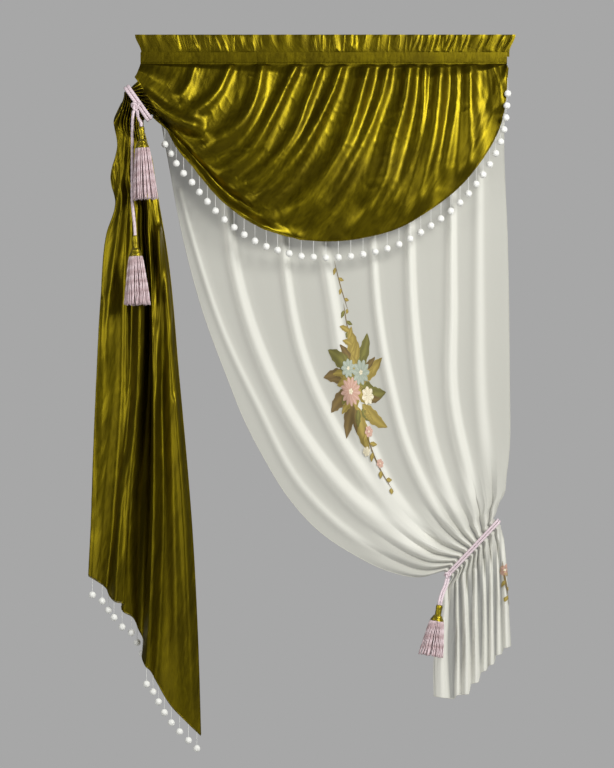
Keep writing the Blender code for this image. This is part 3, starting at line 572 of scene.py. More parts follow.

# %% [markdown]
# ### One tassel for two strands
# The frame's check measures each cord along its route. The two thin strands at the right share
# one tassel.

# %% [markdown]
# ## The ties' turns and knots
# Each tie goes twice round the gathered cloth, and its ends cross in a small hard knot. A turn is
# a closed ring that is nearly flat in front and behind. The left tie's cord is doubled, so its
# section has two lobes that lie side by side. A knot is the cord itself led through a trefoil.

# %% Turns
LEFT_TIE_HIGH = (-0.676, -0.178)
LEFT_TIE_LOW = (-0.593, -0.296)
LEFT_TIE_Y = -0.045
RIGHT_TIE_LOW = (0.406, -1.847)
RIGHT_TIE_HIGH = (0.595, -1.648)
RIGHT_TIE_Y = 0.010
VOILE_Y = 0.0019
NECK_MARGIN = 0.014
NECK_HALF_LENGTH = 0.017
NECK_FOLD = 0.017
VOILE_FOLD = 0.013
TIE_CLEARANCE = 0.0014
SATIN = 0.0020
VOILE = 0.0022
TURN_POINTS = 160
FLATNESS = 0.5  # 1 makes a turn an ellipse, and less makes it flatter in front and behind
STRAIGHT = 1000  # A lay so long that the doubled cord's two strands lie side by side
DOUBLED_GROOVE = 0.30


def flow_of(high, low):
    """The direction in which the cloth runs through a tie, square to its line."""
    line = np.asarray(low, float) - np.asarray(high, float)
    return np.array([line[1], -line[0]]) / np.linalg.norm(line)


def tie_turn(name, node, high, low, y, cord, side, half_depth, strands, lay):
    """One turn of a tie's cord round the gathered cloth, moved sideways along the cloth's run."""
    high = np.asarray(high, float)
    low = np.asarray(low, float)
    line = (low - high) / np.linalg.norm(low - high)
    flow = flow_of(high, low)
    middle = (high + low) / 2 + flow * side
    half = np.linalg.norm(low - high) / 2 - NECK_MARGIN + TIE_CLEARANCE + cord / 2 + SATIN
    angle = np.linspace(0, 2 * math.pi, TURN_POINTS, endpoint=False)
    run = np.sign(np.cos(angle)) * np.abs(np.cos(angle)) ** FLATNESS * half
    deep = np.sign(np.sin(angle)) * np.abs(np.sin(angle)) ** FLATNESS * half_depth
    route = np.stack([middle[0] + line[0] * run, y + deep, middle[1] + line[1] * run], -1)
    groove = DOUBLED_GROOVE if strands == 2 else GROOVE
    square = (flow[0], 0.0, flow[1])
    obj = rope(name, route, cord, pink_cord, strands, lay, groove, True, square)[0]
    return place(obj, "pink_cord", node)


LEFT_APART = 0.0059  # Half the step from one turn to the next
RIGHT_APART = 0.0044
left_depth = NECK_FOLD + SATIN / 2 + TIE_CLEARANCE + LEFT_CORD / 2
right_depth = VOILE_FOLD + VOILE / 2 + TIE_CLEARANCE + RIGHT_CORD / 2
for level, side in (("upper", -1), ("lower", 1)):
    tie_turn("left_" + level + "_turn", "left_tie_" + level + "_turn", LEFT_TIE_HIGH, LEFT_TIE_LOW,
             LEFT_TIE_Y, LEFT_CORD, side * LEFT_APART, left_depth, 2, STRAIGHT)
    tie_turn("right_" + level + "_turn", "right_tie_" + level + "_turn", RIGHT_TIE_LOW,
             RIGHT_TIE_HIGH, VOILE_Y + RIGHT_TIE_Y, RIGHT_CORD, side * RIGHT_APART, right_depth,
             3, 5.0)

# %% Knots
KNOT_POINTS = 120


def knot(name, node, diameter, loop, bulge):
    """The cord led through a trefoil, which is what a small hard knot looks like from outside."""
    low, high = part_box(node)
    centre = (np.asarray(low) + np.asarray(high)) / 2
    t = np.linspace(0, 2 * math.pi, KNOT_POINTS, endpoint=False)
    route = centre + np.stack([loop * (np.sin(t) + 2 * np.sin(2 * t)) / 3, -bulge * np.sin(3 * t),
                               loop * (np.cos(t) - 2 * np.cos(2 * t)) / 3], -1)
    return place(rope(name, route, diameter, pink_cord, closed=True)[0], "pink_cord", node)


knot("left_knot", "left_tie_knot", 0.0095, 0.0125, 0.0045)
knot("right_knot", "right_tie_knot", 0.0075, 0.0095, 0.0038)

# %% [markdown]
# ## How the cloth hangs
# The next functions say where the cloth runs. Its outline, its edges and its ties are the frame's
# own, and each row of a grid is one level of the fall. Here the rows are many, so that folds become
# round and small creases can be pressed in after. The big folds are drawn as crests, a line each
# with a width and a height, because a few drawn lines follow real folds better than an even wave.

# %% Swag and tail
HEADING_HALF = 0.647
FRILL_ROOT_HALF = 0.626
FRILL_HEIGHT = 0.0605
FRILL_ROOT = 0.0755
BAND_LEFT = -0.628
BAND_RIGHT = 0.618
BAND_BOTTOM = -0.0945
SEAM_Y = -0.0007
SWAG_TOP = -0.0780
GATHER_START = -0.0985
TAIL_SHARE = 0.612
SWAG_FORWARD = 0.030
SWAG_STEP = 0.012
SWAG_FOLD = 0.017
SWAG_FOLDS = {
    "share": (0.040, 0.090, 0.140, 0.195, 0.247, 0.301, 0.345, 0.400, 0.447, 0.500,
              0.548, 0.592, 0.664, 0.735, 0.813, 0.866, 0.915, 0.965),
    "height": (0.7, 1.0, 0.8, 1.1, 0.9, 1.2, 0.8, 1.1, 0.8, 1.2,
               0.9, 1.0, 1.2, 0.9, 1.2, 0.8, 0.9, 0.7),
}
# Each fold: its crest in the picture's plane, how wide it is and how far it stands out. The last
# four are the cloth's bend at the tie, the hollow under it, the hem's roll and the hollow inside it.
SWAG_CRESTS = (
    (((-0.443, -0.110), (-0.467, -0.178), (-0.507, -0.236)), 0.017, 0.008),
    (((-0.324, -0.110), (-0.365, -0.195), (-0.416, -0.250), (-0.484, -0.280)), 0.020, 0.012),
    (((-0.215, -0.107), (-0.235, -0.212), (-0.286, -0.307), (-0.365, -0.365),
      (-0.433, -0.392)), 0.027, 0.016),
    (((-0.099, -0.103), (-0.133, -0.178), (-0.188, -0.290), (-0.256, -0.399),
      (-0.337, -0.467), (-0.412, -0.494)), 0.024, 0.015),
    (((-0.018, -0.110), (-0.059, -0.222), (-0.106, -0.341), (-0.188, -0.447),
      (-0.290, -0.522), (-0.351, -0.552)), 0.020, 0.012),
    (((0.057, -0.103), (0.020, -0.205), (-0.048, -0.341), (-0.127, -0.454),
      (-0.229, -0.556), (-0.290, -0.593)), 0.024, 0.015),
    (((0.145, -0.110), (0.105, -0.256), (0.050, -0.399), (-0.025, -0.515),
      (-0.133, -0.617), (-0.201, -0.647)), 0.031, 0.019),
    (((0.213, -0.107), (0.186, -0.222), (0.125, -0.375), (0.067, -0.488),
      (-0.018, -0.596), (-0.086, -0.664)), 0.024, 0.012),
    (((0.285, -0.110), (0.271, -0.212), (0.230, -0.365), (0.193, -0.511),
      (0.111, -0.637), (0.060, -0.685)), 0.034, 0.021),
    (((0.339, -0.110), (0.329, -0.256), (0.292, -0.426), (0.227, -0.579),
      (0.179, -0.658)), 0.017, 0.010),
    (((0.390, -0.110), (0.380, -0.239), (0.346, -0.443), (0.305, -0.596),
      (0.275, -0.651)), 0.031, 0.019),
    (((0.445, -0.110), (0.445, -0.205), (0.424, -0.358), (0.397, -0.528)), 0.017, 0.010),
    (((0.492, -0.110), (0.489, -0.256), (0.492, -0.392), (0.482, -0.511)), 0.031, 0.018),
    (((0.567, -0.110), (0.591, -0.195), (0.604, -0.273)), 0.020, 0.011),
    (((-0.606, -0.212), (-0.538, -0.273), (-0.453, -0.314), (-0.402, -0.324)), 0.024, 0.024),
    (((-0.545, -0.300), (-0.456, -0.348), (-0.388, -0.366)), 0.012, -0.008),
    (((-0.575, -0.285), (-0.531, -0.358), (-0.446, -0.455), (-0.356, -0.562), (-0.270, -0.622),
      (-0.178, -0.668), (-0.100, -0.688)), 0.014, 0.019),
    (((-0.556, -0.290), (-0.452, -0.412), (-0.322, -0.548), (-0.218, -0.620)), 0.012, -0.010),
)
LEFT_EDGE = ((-0.628, GATHER_START), (-0.631, -0.113), (-0.640, -0.138), (-0.652, -0.156))
TURN = (-0.086, -0.696)
TURN_BOW = 0.016
HEM_DRAWN_IN = 0.07
LEFT_HEM = ((-0.210, -0.660), (-0.292, -0.617), (-0.373, -0.557), (-0.453, -0.470),
            (-0.531, -0.385), (-0.562, -0.320), (-0.577, -0.291))
RIGHT_HEM = {
    "share": (0.612, 0.672, 0.735, 0.823, 0.899, 0.955, 1.000),
    "x": (-0.086, 0.016, 0.125, 0.302, 0.492, 0.595, 0.618),
    "z": (-0.696, -0.701, -0.690, -0.628, -0.474, -0.297, -0.112),
}
APPROACH = 0.028
NEAR_TIE_FROM = 0.72  # From this share of the swag's fall its cloth draws in to the tie's depth
IN_TIE_FROM = 0.93  # From this one its drawn folds give way to the tie's pleats
VOILE_NEAR_TIE_FROM = 0.80
TAIL_LEFT = ((-0.690, -0.199), (-0.712, -0.222), (-0.718, -0.275), (-0.704, -0.378), (-0.726, -0.500),
             (-0.711, -0.566), (-0.742, -0.682), (-0.761, -0.902), (-0.777, -1.214), (-0.797, -1.718),
             (-0.803, -1.836))
TAIL_RIGHT = ((-0.606, -0.306), (-0.597, -0.340), (-0.590, -0.400), (-0.565, -0.568), (-0.538, -0.729),
              (-0.496, -1.162), (-0.449, -1.718), (-0.431, -2.080), (-0.422, -2.377))
CREST_GAIN = 1.6
TAIL_CRESTS = (
    (((-0.684, -0.263), (-0.715, -0.307), (-0.722, -0.409), (-0.718, -0.511),
      (-0.728, -0.603)), 0.012, 0.016),
    (((-0.671, -0.284), (-0.681, -0.443), (-0.701, -0.681), (-0.732, -0.902),
      (-0.752, -1.174)), 0.012, 0.010),
    (((-0.660, -0.562), (-0.671, -0.902), (-0.677, -1.242), (-0.698, -1.582),
      (-0.711, -1.956)), 0.013, 0.013),
    (((-0.626, -0.902), (-0.633, -1.242), (-0.660, -1.582), (-0.674, -1.956)), 0.014, 0.020),
    (((-0.562, -0.664), (-0.565, -1.038), (-0.579, -1.344), (-0.586, -1.650),
      (-0.596, -2.228)), 0.014, 0.022),
    (((-0.589, -0.562), (-0.541, -0.902), (-0.521, -1.310), (-0.507, -1.786),
      (-0.494, -2.330)), 0.017, 0.012),
    (((-0.507, -1.242), (-0.480, -1.650), (-0.460, -2.058), (-0.446, -2.398)), 0.014, 0.009),
    (((-0.762, -0.902), (-0.779, -1.310), (-0.786, -1.650)), 0.014, 0.008),
)
TAIL_LEVELS = (0.0, 0.40, 0.84, 1.0)
TAIL_FOLDS = {
    "at_tie": (0.00, 0.12, 0.20, 0.26, 0.32, 0.38, 0.44, 0.48, 0.53, 0.60, 0.66, 0.72, 0.76, 0.80,
               0.85, 0.90, 0.95, 1.00),
    "upper": (0.00, 0.22, 0.40, 0.47, 0.54, 0.60, 0.570, 0.58, 0.63, 0.66, 0.69, 0.680, 0.70, 0.735,
              0.79, 0.87, 0.94, 1.00),
    "middle": (0.00, 0.13, 0.24, 0.27, 0.31, 0.37, 0.340, 0.35, 0.40, 0.48, 0.56, 0.560, 0.60, 0.635,
               0.69, 0.80, 0.91, 1.00),
    "hem": (0.00, 0.10, 0.165, 0.205, 0.26, 0.335, 0.300, 0.320, 0.400, 0.455, 0.505, 0.490, 0.525,
            0.562, 0.615, 0.73, 0.87, 1.00),
    "y": (-0.026, -0.038, -0.028, -0.044, -0.064, -0.058, -0.036, -0.018, -0.010, 0.004, -0.002,
          -0.036, -0.058, -0.050, -0.032, -0.044, -0.052, -0.034),
    "z": (-1.836, -1.857, -1.878, -1.905, -1.921, -1.927, -1.944, -1.958, -1.975, -2.020, -2.060,
          -2.115, -2.140, -2.155, -2.195, -2.268, -2.325, -2.377),
}


FULLNESS = 1.3
BUNDLE_EDGE = 0.14
CREST_SPREAD = (0.65, 0.75)
CREST_FADE = (0.8, 0.2)


def fold_profile(folds, share):
    """Height of the folds across a cloth: rounded crests of 1 and narrower valleys of -1."""
    crests = np.asarray(folds["share"], float)
    valleys = np.concatenate([[0], (crests[1:] + crests[:-1]) / 2, [1]])
    i = np.clip(np.searchsorted(valleys, share, side="right") - 1, 0, len(crests) - 1)
    before = (share - valleys[i]) / (crests[i] - valleys[i])
    after = (valleys[i + 1] - share) / (valleys[i + 1] - crests[i])
    rise = np.sin(np.clip(np.minimum(before, after), 0, 1) * math.pi / 2) ** FULLNESS
    return (2 * rise - 1) * np.asarray(folds["height"], float)[i]


def bundle(folds, share, whole=1.0):
    """Height of a tie's gathered folds, which are lower at both ends of the bundle."""
    part = np.clip(share / whole, 0, 1)
    lower_ends = 0.5 + 0.5 * smooth(np.minimum(part, 1 - part) / BUNDLE_EDGE)
    return np.clip(fold_profile(folds, share), -1, 1) * lower_ends


def crest_heights(plan, crests):
    """How far drawn folds stand out at each (x, z): a fold is narrow at its top and broad below."""
    total = np.zeros(len(plan))
    for path, wide, tall in crests:
        line = along(path, np.linspace(0, 1, 5 * len(path)))
        step = np.diff(line, axis=0)
        gap = plan[:, None] - line[None, :-1]
        part = np.clip((gap * step).sum(-1) / (step ** 2).sum(-1), 0, 1)
        away = ((gap - part[..., None] * step) ** 2).sum(-1)
        nearest = away.argmin(axis=1)
        each = np.arange(len(plan))
        reach = (nearest + part[each, nearest]) / len(step)
        width = wide * (CREST_SPREAD[0] + CREST_SPREAD[1] * reach)
        fade = 1 - 0.8 * smooth((reach - CREST_FADE[0]) / CREST_FADE[1])
        total += tall * fade * np.exp(-away[each, nearest] / width ** 2)
    return total


def neck_ends(high, low, side):
    """The two ends of a cloth's neck, which is shorter than the tie's line, moved along the flow."""
    high = np.asarray(high, float)
    low = np.asarray(low, float)
    line = (low - high) / np.linalg.norm(low - high)
    flow = flow_of(high, low)
    return high + line * NECK_MARGIN + flow * side, low - line * NECK_MARGIN + flow * side


def swag_plan(share, fall):
    """(x, z) of the swag: share is the place along the heading, fall is 0 there and 1 at the tie."""
    top = np.stack([BAND_LEFT + share * (BAND_RIGHT - BAND_LEFT),
                    np.full_like(share, GATHER_START)], -1)
    high, low = neck_ends(LEFT_TIE_HIGH, LEFT_TIE_LOW, -NECK_HALF_LENGTH)
    half = np.clip(fall * 2, 0, 1)
    corner = np.array([BAND_LEFT + TAIL_SHARE * (BAND_RIGHT - BAND_LEFT), GATHER_START])
    drop = corner + (np.asarray(TURN) - corner) * half
    drop[0] += TURN_BOW * 4 * half * (1 - half)
    if fall > 0.5:
        drop = along((TURN,) + LEFT_HEM + (tuple(low),), [fall * 2 - 1])[0]
    left = along(LEFT_EDGE + (tuple(high),), [fall])[0]
    inward = np.exp(-(((fall - 0.5) / 0.13) ** 2)) * HEM_DRAWN_IN
    part = np.clip(share / TAIL_SHARE, 0, 1)
    pull = part - inward * part * smooth((1 - part) / 0.12)
    lift = APPROACH * smooth((1 - fall) / 0.07) * (1 - smooth((1 - fall) / 0.45))
    flow = flow_of(LEFT_TIE_HIGH, LEFT_TIE_LOW)
    tail_part = left + (drop - left) * pull[:, None] - flow * lift
    hem = np.stack([through(RIGHT_HEM["share"], RIGHT_HEM[axis], share) for axis in "xz"], -1)
    right_part = top + (hem - top) * half
    right_part[:, 0] += TURN_BOW * 4 * half * (1 - half) * (1 - smooth((share - TAIL_SHARE) / 0.2))
    return np.where((share <= TAIL_SHARE)[:, None], tail_part, right_part)


def swag_row(share, fall):
    """(x, y, z) of the swag's cloth at one fall. Its drawn folds give way to the tie's pleats."""
    plan = swag_plan(share, fall)
    near_tie = smooth((fall - NEAR_TIE_FROM) / (1 - NEAR_TIE_FROM))
    height = SWAG_FOLD * (0.30 * smooth(fall / 0.05) + 0.70 * smooth(fall / 0.3))
    height = height * (1 - near_tie) + NECK_FOLD * near_tie
    in_tie = smooth((fall - IN_TIE_FROM) / (1 - IN_TIE_FROM))
    relief = crest_heights(plan, SWAG_CRESTS) * CREST_GAIN * smooth(fall / 0.015) * (1 - in_tie)
    relief = relief + height * bundle(SWAG_FOLDS, share, TAIL_SHARE) * in_tie
    forward = SWAG_FORWARD * smooth(fall / 0.35) * (1 - 0.35 * smooth((share - 0.8) / 0.2))
    forward = forward + SWAG_STEP * smooth(fall / 0.05)
    y = SEAM_Y - forward * (1 - near_tie) + (LEFT_TIE_Y - SEAM_Y) * near_tie - relief
    return np.stack([plan[:, 0], y, plan[:, 1]], -1)


def tail_row(share, fall):
    """(x, y, z) of the tail's cloth: fall is 0 just below the tie and 1 at the hem."""
    part = np.clip(share / TAIL_SHARE, 0, 1)
    high, low = neck_ends(LEFT_TIE_HIGH, LEFT_TIE_LOW, NECK_HALF_LENGTH)
    start = high + (low - high) * part[:, None]
    z = start[:, 1] + (through(TAIL_FOLDS["at_tie"], TAIL_FOLDS["z"], part) - start[:, 1]) * fall
    levels = ("at_tie", "upper", "middle", "hem")
    shares = [through(TAIL_FOLDS["at_tie"], TAIL_FOLDS[level], part) for level in levels]
    across = through(TAIL_LEVELS, np.array(shares), np.array([fall]))[0]
    left = at_height(TAIL_LEFT, z)
    x = left + (at_height(TAIL_RIGHT, z) - left) * across
    away = smooth(fall / 0.07)
    x = start[:, 0] * (1 - away) + x * away
    folds = bundle(SWAG_FOLDS, share, TAIL_SHARE)
    fading = NECK_FOLD * (1 - smooth(fall / 0.085))
    spread = smooth((fall - 0.02) / 0.3)
    opened = through(TAIL_FOLDS["at_tie"], TAIL_FOLDS["y"], part)
    y = LEFT_TIE_Y * (1 - spread) + opened * spread - folds * fading
    drawn = crest_heights(np.stack([x, z], -1), TAIL_CRESTS) * smooth(fall / 0.03)
    return np.stack([x, y - drawn, z], -1)


def flat_row(left, right, share, y, z):
    """A straight row of a cloth's seam allowance behind the band."""
    x = left + share * (right - left)
    return np.stack([x, np.full_like(share, y), np.full_like(share, z)], -1)


# %% [markdown]
# ### From a grid to cloth
# A sheet is a grid of points. Its creases are pressed along the direction square to the cloth, and
# their sizes are in real metres, because each point's place is measured along the cloth itself.

# %% Grids
def measured(grid):
    """Each point's place on the cloth, across and lengthways, and the direction out of its front."""
    across = np.linalg.norm(np.nan_to_num(np.diff(grid, axis=1)), axis=-1)
    down = np.linalg.norm(np.nan_to_num(np.diff(grid, axis=0)), axis=-1)
    u = np.concatenate([np.zeros((len(grid), 1)), np.cumsum(across, axis=1)], axis=1)
    v = np.concatenate([np.zeros((1, grid.shape[1])), np.cumsum(down, axis=0)], axis=0)
    filled = grid.copy()
    for row in range(1, len(grid)):
        lost = np.isnan(filled[row, :, 0])
        filled[row, lost] = filled[row - 1, lost] - [0, 0, MM]
    front = unit(np.cross(np.gradient(filled, axis=0), np.gradient(filled, axis=1)))
    return u, v, front


def grid_cells(index):
    """The four corners of each cell of a grid of point numbers."""
    corners = [index[:-1, :-1], index[1:, :-1], index[1:, 1:], index[:-1, 1:]]
    return np.stack(corners, -1).reshape(-1, 4)


def add_fold_map(obj, depth):
    """A second map: 1 on a fold, 0 in a single layer; it sets see-through and painted shade."""
    corner = np.zeros(len(obj.data.loops), np.int64)
    obj.data.loops.foreach_get("vertex_index", corner)
    layer = obj.data.uv_layers.new(name="fold map")
    layer.data.foreach_set("uv", pairs(depth, 0.0).astype(np.float32)[corner].ravel())


def sheet_mesh(name, grid, u, v, finish, depth=None):
    """One layer of cloth over a grid, without the cells that miss a corner. depth is its fold map."""
    points = grid.reshape(-1, 3)
    cells = grid_cells(np.arange(len(points)).reshape(grid.shape[:2]))
    cells = cells[~np.isnan(points[cells]).any(axis=(1, 2))]
    used = np.unique(cells)
    number = np.full(len(points), -1)
    number[used] = np.arange(len(used))
    flat = np.stack([u.ravel()[used], v.ravel()[used]], -1)
    obj = add_mesh(name, points[used], number[cells], finish, flat)
    if depth is not None:
        add_fold_map(obj, depth.ravel()[used])
    return obj


def sheet_area(grid):
    down = grid[1:, :-1] - grid[:-1, :-1]
    across = grid[:-1, 1:] - grid[:-1, :-1]
    return np.nan_to_num(np.linalg.norm(np.cross(down, across), axis=-1)).sum()


# %% [markdown]
# ## The satin swag and its tail
# Both are one cloth. Long folds run from the gathers to the tie, and between them the crushed satin
# shows slanting creases a few centimetres long. Near the heading each pleat of the gathering makes
# its own short ridge.

# %% Satin grid
TAIL_COLUMNS = 210
RIGHT_COLUMNS = 120
UPPER_ROWS = 135
LOWER_ROWS = 90
TAIL_ROWS = 150

tail_share = np.linspace(0, TAIL_SHARE, TAIL_COLUMNS)
right_share = np.linspace(TAIL_SHARE, 1, RIGHT_COLUMNS)[1:]
satin_share = np.concatenate([tail_share, right_share])
missing = np.full((len(right_share), 3), np.nan)
rows = [flat_row(BAND_LEFT, BAND_RIGHT, satin_share, SEAM_Y, SWAG_TOP)]
rows += [swag_row(satin_share, fall) for fall in 0.5 * np.linspace(0, 1, UPPER_ROWS) ** 1.15]
rows += [np.concatenate([swag_row(tail_share, fall), missing])
         for fall in np.linspace(0.5, 1, LOWER_ROWS)[1:]]
rows += [np.concatenate([tail_row(tail_share, fall), missing])
         for fall in np.linspace(0, 1, TAIL_ROWS) ** 1.25]
satin_grid = np.array(rows)
turn_row = UPPER_ROWS
neck_row = UPPER_ROWS + LOWER_ROWS - 1
u, v, front = measured(satin_grid)
print("satin grid", satin_grid.shape[:2], "area", round(sheet_area(satin_grid), 3), "m2")

# %% Creases of the satin
PLEAT = 3.2 * MM
SMALL_PLEAT = 2.4 * MM
STREAK = 2.5 * MM
FINE_STREAK = 0.8 * MM
LONG_CREASE = 0.9 * MM
CRUSH = 1.1 * MM
FINE_CRUSH = 0.35 * MM
SWAG_SLANT = 0.75
TAIL_SLANT = -0.5
rows_share = np.broadcast_to(satin_share, u.shape)
from_top = smooth((v - 0.020) / 0.035)
row_number = np.arange(len(u))[:, None]
from_neck = smooth((np.abs(v - v[neck_row][None]) - 0.030) / 0.07)
on_swag = (row_number <= neck_row) * 1.0

width = rows_share * (BAND_RIGHT - BAND_LEFT)
wander = 0.25 * hills(v / 0.05, width / 0.2, 3)
gathers = creases(width / 0.030 + wander, v / 0.5, 5) * PLEAT * np.exp(-v / 0.09)
wander = 0.2 * hills(v / 0.03, width / 0.1, 6)
gathers += creases(width / 0.016 + wander, v / 0.3, 7) * SMALL_PLEAT * np.exp(-v / 0.05)
streaks = hills(u / 0.040, v / 0.35 + 3, 11) * STREAK + hills(u / 0.016, v / 0.20, 12) * FINE_STREAK
streaks *= 0.45 + 0.55 * on_swag
long_creases = creases(rows_share / TAIL_SHARE * 12, v / 0.9, 15) * LONG_CREASE * (1 - on_swag)
warp = hills(u / 0.08, v / 0.08, 21) * 0.9
slant = np.where(row_number <= neck_row, SWAG_SLANT, TAIL_SLANT)
one = (u * np.cos(slant) + v * np.sin(slant)) / 0.030 + warp
two = (-u * np.sin(slant) + v * np.cos(slant)) / 0.110
crushed = creases(two * 3.0 + warp, one * 0.35, 23) * CRUSH
fine_crush = creases(two * 7 + warp, one * 0.6, 29) * FINE_CRUSH
press = gathers * on_swag + (streaks + long_creases + crushed + fine_crush) * from_neck
satin_grid = satin_grid + front * (press * from_top)[..., None]
swag_and_tail = sheet_mesh("satin_swag_and_tail", satin_grid, u, v, satin)
place(swag_and_tail, "olive_satin", "swag_and_tail")
print("area with creases", round(sheet_area(satin_grid), 3), "m2")

# %% [markdown]
# ## The voile panel
# Voile is so limp that its folds fall as long soft ridges with wide hollows between them. They all
# run together in the tie, where the cloth is crushed into small hard pleats, and open again below.

# %% Voile grid
VOILE_TOP = -0.0620
VOILE_BACK = 0.020
VOILE_LEFT = ((-0.596, -0.0945), (-0.541, -0.392), (-0.485, -0.686), (-0.419, -0.934), (-0.333, -1.168),
              (-0.276, -1.310), (-0.215, -1.429), (-0.120, -1.582), (-0.020, -1.690), (0.094, -1.767),
              (0.224, -1.828), (0.320, -1.846))
VOILE_RIGHT = ((0.618, -0.0945), (0.609, -0.356), (0.621, -0.695), (0.629, -1.242), (0.631, -1.502),
               (0.622, -1.590))
VOILE_CRESTS = (
    (((-0.494, -0.528), (-0.436, -0.743), (-0.348, -1.004), (-0.232, -1.253),
      (-0.076, -1.538), (0.118, -1.718), (0.346, -1.820)), 0.017, 0.012),
    (((-0.337, -0.137), (-0.331, -0.607), (-0.317, -0.743), (-0.263, -0.970),
      (-0.178, -1.185), (-0.076, -1.368), (0.074, -1.559), (0.400, -1.810)), 0.024, 0.026),
    (((-0.161, -0.137), (-0.144, -0.688), (-0.127, -0.858), (-0.076, -1.096),
      (0.016, -1.310), (0.142, -1.514), (0.278, -1.684), (0.424, -1.786)), 0.020, 0.022),
    (((-0.025, -0.137), (-0.008, -0.709), (0.026, -0.913), (0.074, -1.185),
      (0.142, -1.389), (0.230, -1.572), (0.346, -1.695), (0.458, -1.763)), 0.024, 0.024),
    (((0.152, -0.137), (0.162, -0.688), (0.176, -0.913), (0.220, -1.185),
      (0.278, -1.402), (0.356, -1.572), (0.434, -1.684), (0.492, -1.729)), 0.017, 0.020),
    (((0.278, -0.137), (0.288, -0.654), (0.295, -0.913), (0.322, -1.185),
      (0.366, -1.423), (0.434, -1.593), (0.516, -1.708)), 0.020, 0.026),
    (((0.431, -0.137), (0.431, -0.562), (0.431, -0.913), (0.434, -1.253),
      (0.475, -1.457), (0.526, -1.627), (0.553, -1.684)), 0.020, 0.025),
    (((0.526, -0.137), (0.526, -0.494), (0.526, -0.913), (0.533, -1.253),
      (0.560, -1.514), (0.574, -1.650)), 0.024, 0.012),
)
VOILE_FOLDS = {
    "share": (0.035, 0.140, 0.215, 0.310, 0.420, 0.510, 0.590, 0.700, 0.830, 0.935),
    "height": (0.9, 1.1, 0.8, 1.2, 0.9, 1.1, 0.8, 1.2, 0.6, 0.9),
}
SKIRT_LEFT = ((0.401, -1.880), (0.398, -1.990), (0.372, -2.112), (0.370, -2.262))
SKIRT_RIGHT = ((0.606, -1.700), (0.613, -1.773), (0.622, -1.916), (0.632, -2.083))
SKIRT_CRESTS = (
    (((0.414, -1.865), (0.397, -2.058), (0.400, -2.347)), 0.019, 0.015),
    (((0.448, -1.854), (0.450, -2.058), (0.448, -2.313)), 0.007, 0.012),
    (((0.475, -1.834), (0.479, -2.058), (0.479, -2.330)), 0.011, 0.017),
    (((0.509, -1.820), (0.511, -2.024), (0.514, -2.296)), 0.010, 0.016),
    (((0.540, -1.786), (0.543, -1.990), (0.540, -2.262)), 0.008, 0.012),
    (((0.565, -1.735), (0.565, -1.922), (0.567, -2.228)), 0.007, 0.014),
    (((0.587, -1.701), (0.589, -1.888), (0.591, -2.194)), 0.007, 0.009),
    (((0.604, -1.664), (0.611, -1.854), (0.620, -2.177)), 0.010, 0.016),
)
VOILE_HEM = {
    "share": (0.00, 0.26, 0.30, 0.45, 0.48, 0.58, 0.61, 0.68, 0.71, 0.77, 0.80, 0.88, 0.91, 1.00),
    "z": (-2.250, -2.260, -2.246, -2.242, -2.208, -2.202, -2.170, -2.162, -2.146, -2.140, -2.112,
          -2.106, -2.086, -2.080),
}
VOILE_COLUMNS = 320
VOILE_ROWS = 210
SKIRT_ROWS = 80
VOILE_GAIN = 0.8
VOILE_SET_BACK = 0.006
SKIRT_GAIN = 1.3
SKIRT_SET_BACK = 0.010


def voile_row(share, fall):
    """(x, y, z) of the voile above its tie: fall is 0 under the band and 1 at the tie."""
    low, high = neck_ends(RIGHT_TIE_LOW, RIGHT_TIE_HIGH, -NECK_HALF_LENGTH)
    left = along(VOILE_LEFT + (tuple(low),), [fall])[0]
    right = along(VOILE_RIGHT + (tuple(high),), [fall])[0]
    lift = APPROACH * smooth((1 - fall) / 0.04) * (1 - smooth((1 - fall) / 0.25))
    lift = lift * smooth(share / 0.4)
    flow = flow_of(RIGHT_TIE_LOW, RIGHT_TIE_HIGH)
    plan = left + (right - left) * share[:, None] - flow * lift[:, None]
    near_tie = smooth((fall - VOILE_NEAR_TIE_FROM) / (1 - VOILE_NEAR_TIE_FROM))
    height = VOILE_FOLD * smooth(fall / 0.12)
    back = VOILE_BACK * smooth(fall / 0.1) * (1 - near_tie) + RIGHT_TIE_Y * near_tie
    drawn = crest_heights(plan, VOILE_CRESTS) * smooth(fall / 0.08) * (1 - near_tie)
    relief = VOILE_GAIN * drawn - VOILE_SET_BACK * (1 - near_tie)
    relief = relief + height * bundle(VOILE_FOLDS, share) * near_tie
    return np.stack([plan[:, 0], VOILE_Y + back - relief, plan[:, 1]], -1)


def skirt_row(share, fall):
    """(x, y, z) of the voile below its tie: fall is 0 at the tie and 1 at the stepped hem."""
    low, high = neck_ends(RIGHT_TIE_LOW, RIGHT_TIE_HIGH, NECK_HALF_LENGTH)
    start = low + (high - low) * share[:, None]
    z = start[:, 1] + (np.interp(share, VOILE_HEM["share"], VOILE_HEM["z"]) - start[:, 1]) * fall
    left = at_height(SKIRT_LEFT, z)
    x = left + (at_height(SKIRT_RIGHT, z) - left) * share
    away = smooth(fall / 0.12)
    x = start[:, 0] * (1 - away) + x * away
    opened = smooth(fall / 0.5)
    plan = np.stack([x, z], -1)
    relief = (SKIRT_GAIN * crest_heights(plan, SKIRT_CRESTS) - SKIRT_SET_BACK) * opened
    relief = relief + bundle(VOILE_FOLDS, share) * VOILE_FOLD * (1 - opened)
    return np.stack([x, VOILE_Y + RIGHT_TIE_Y - relief, z], -1)


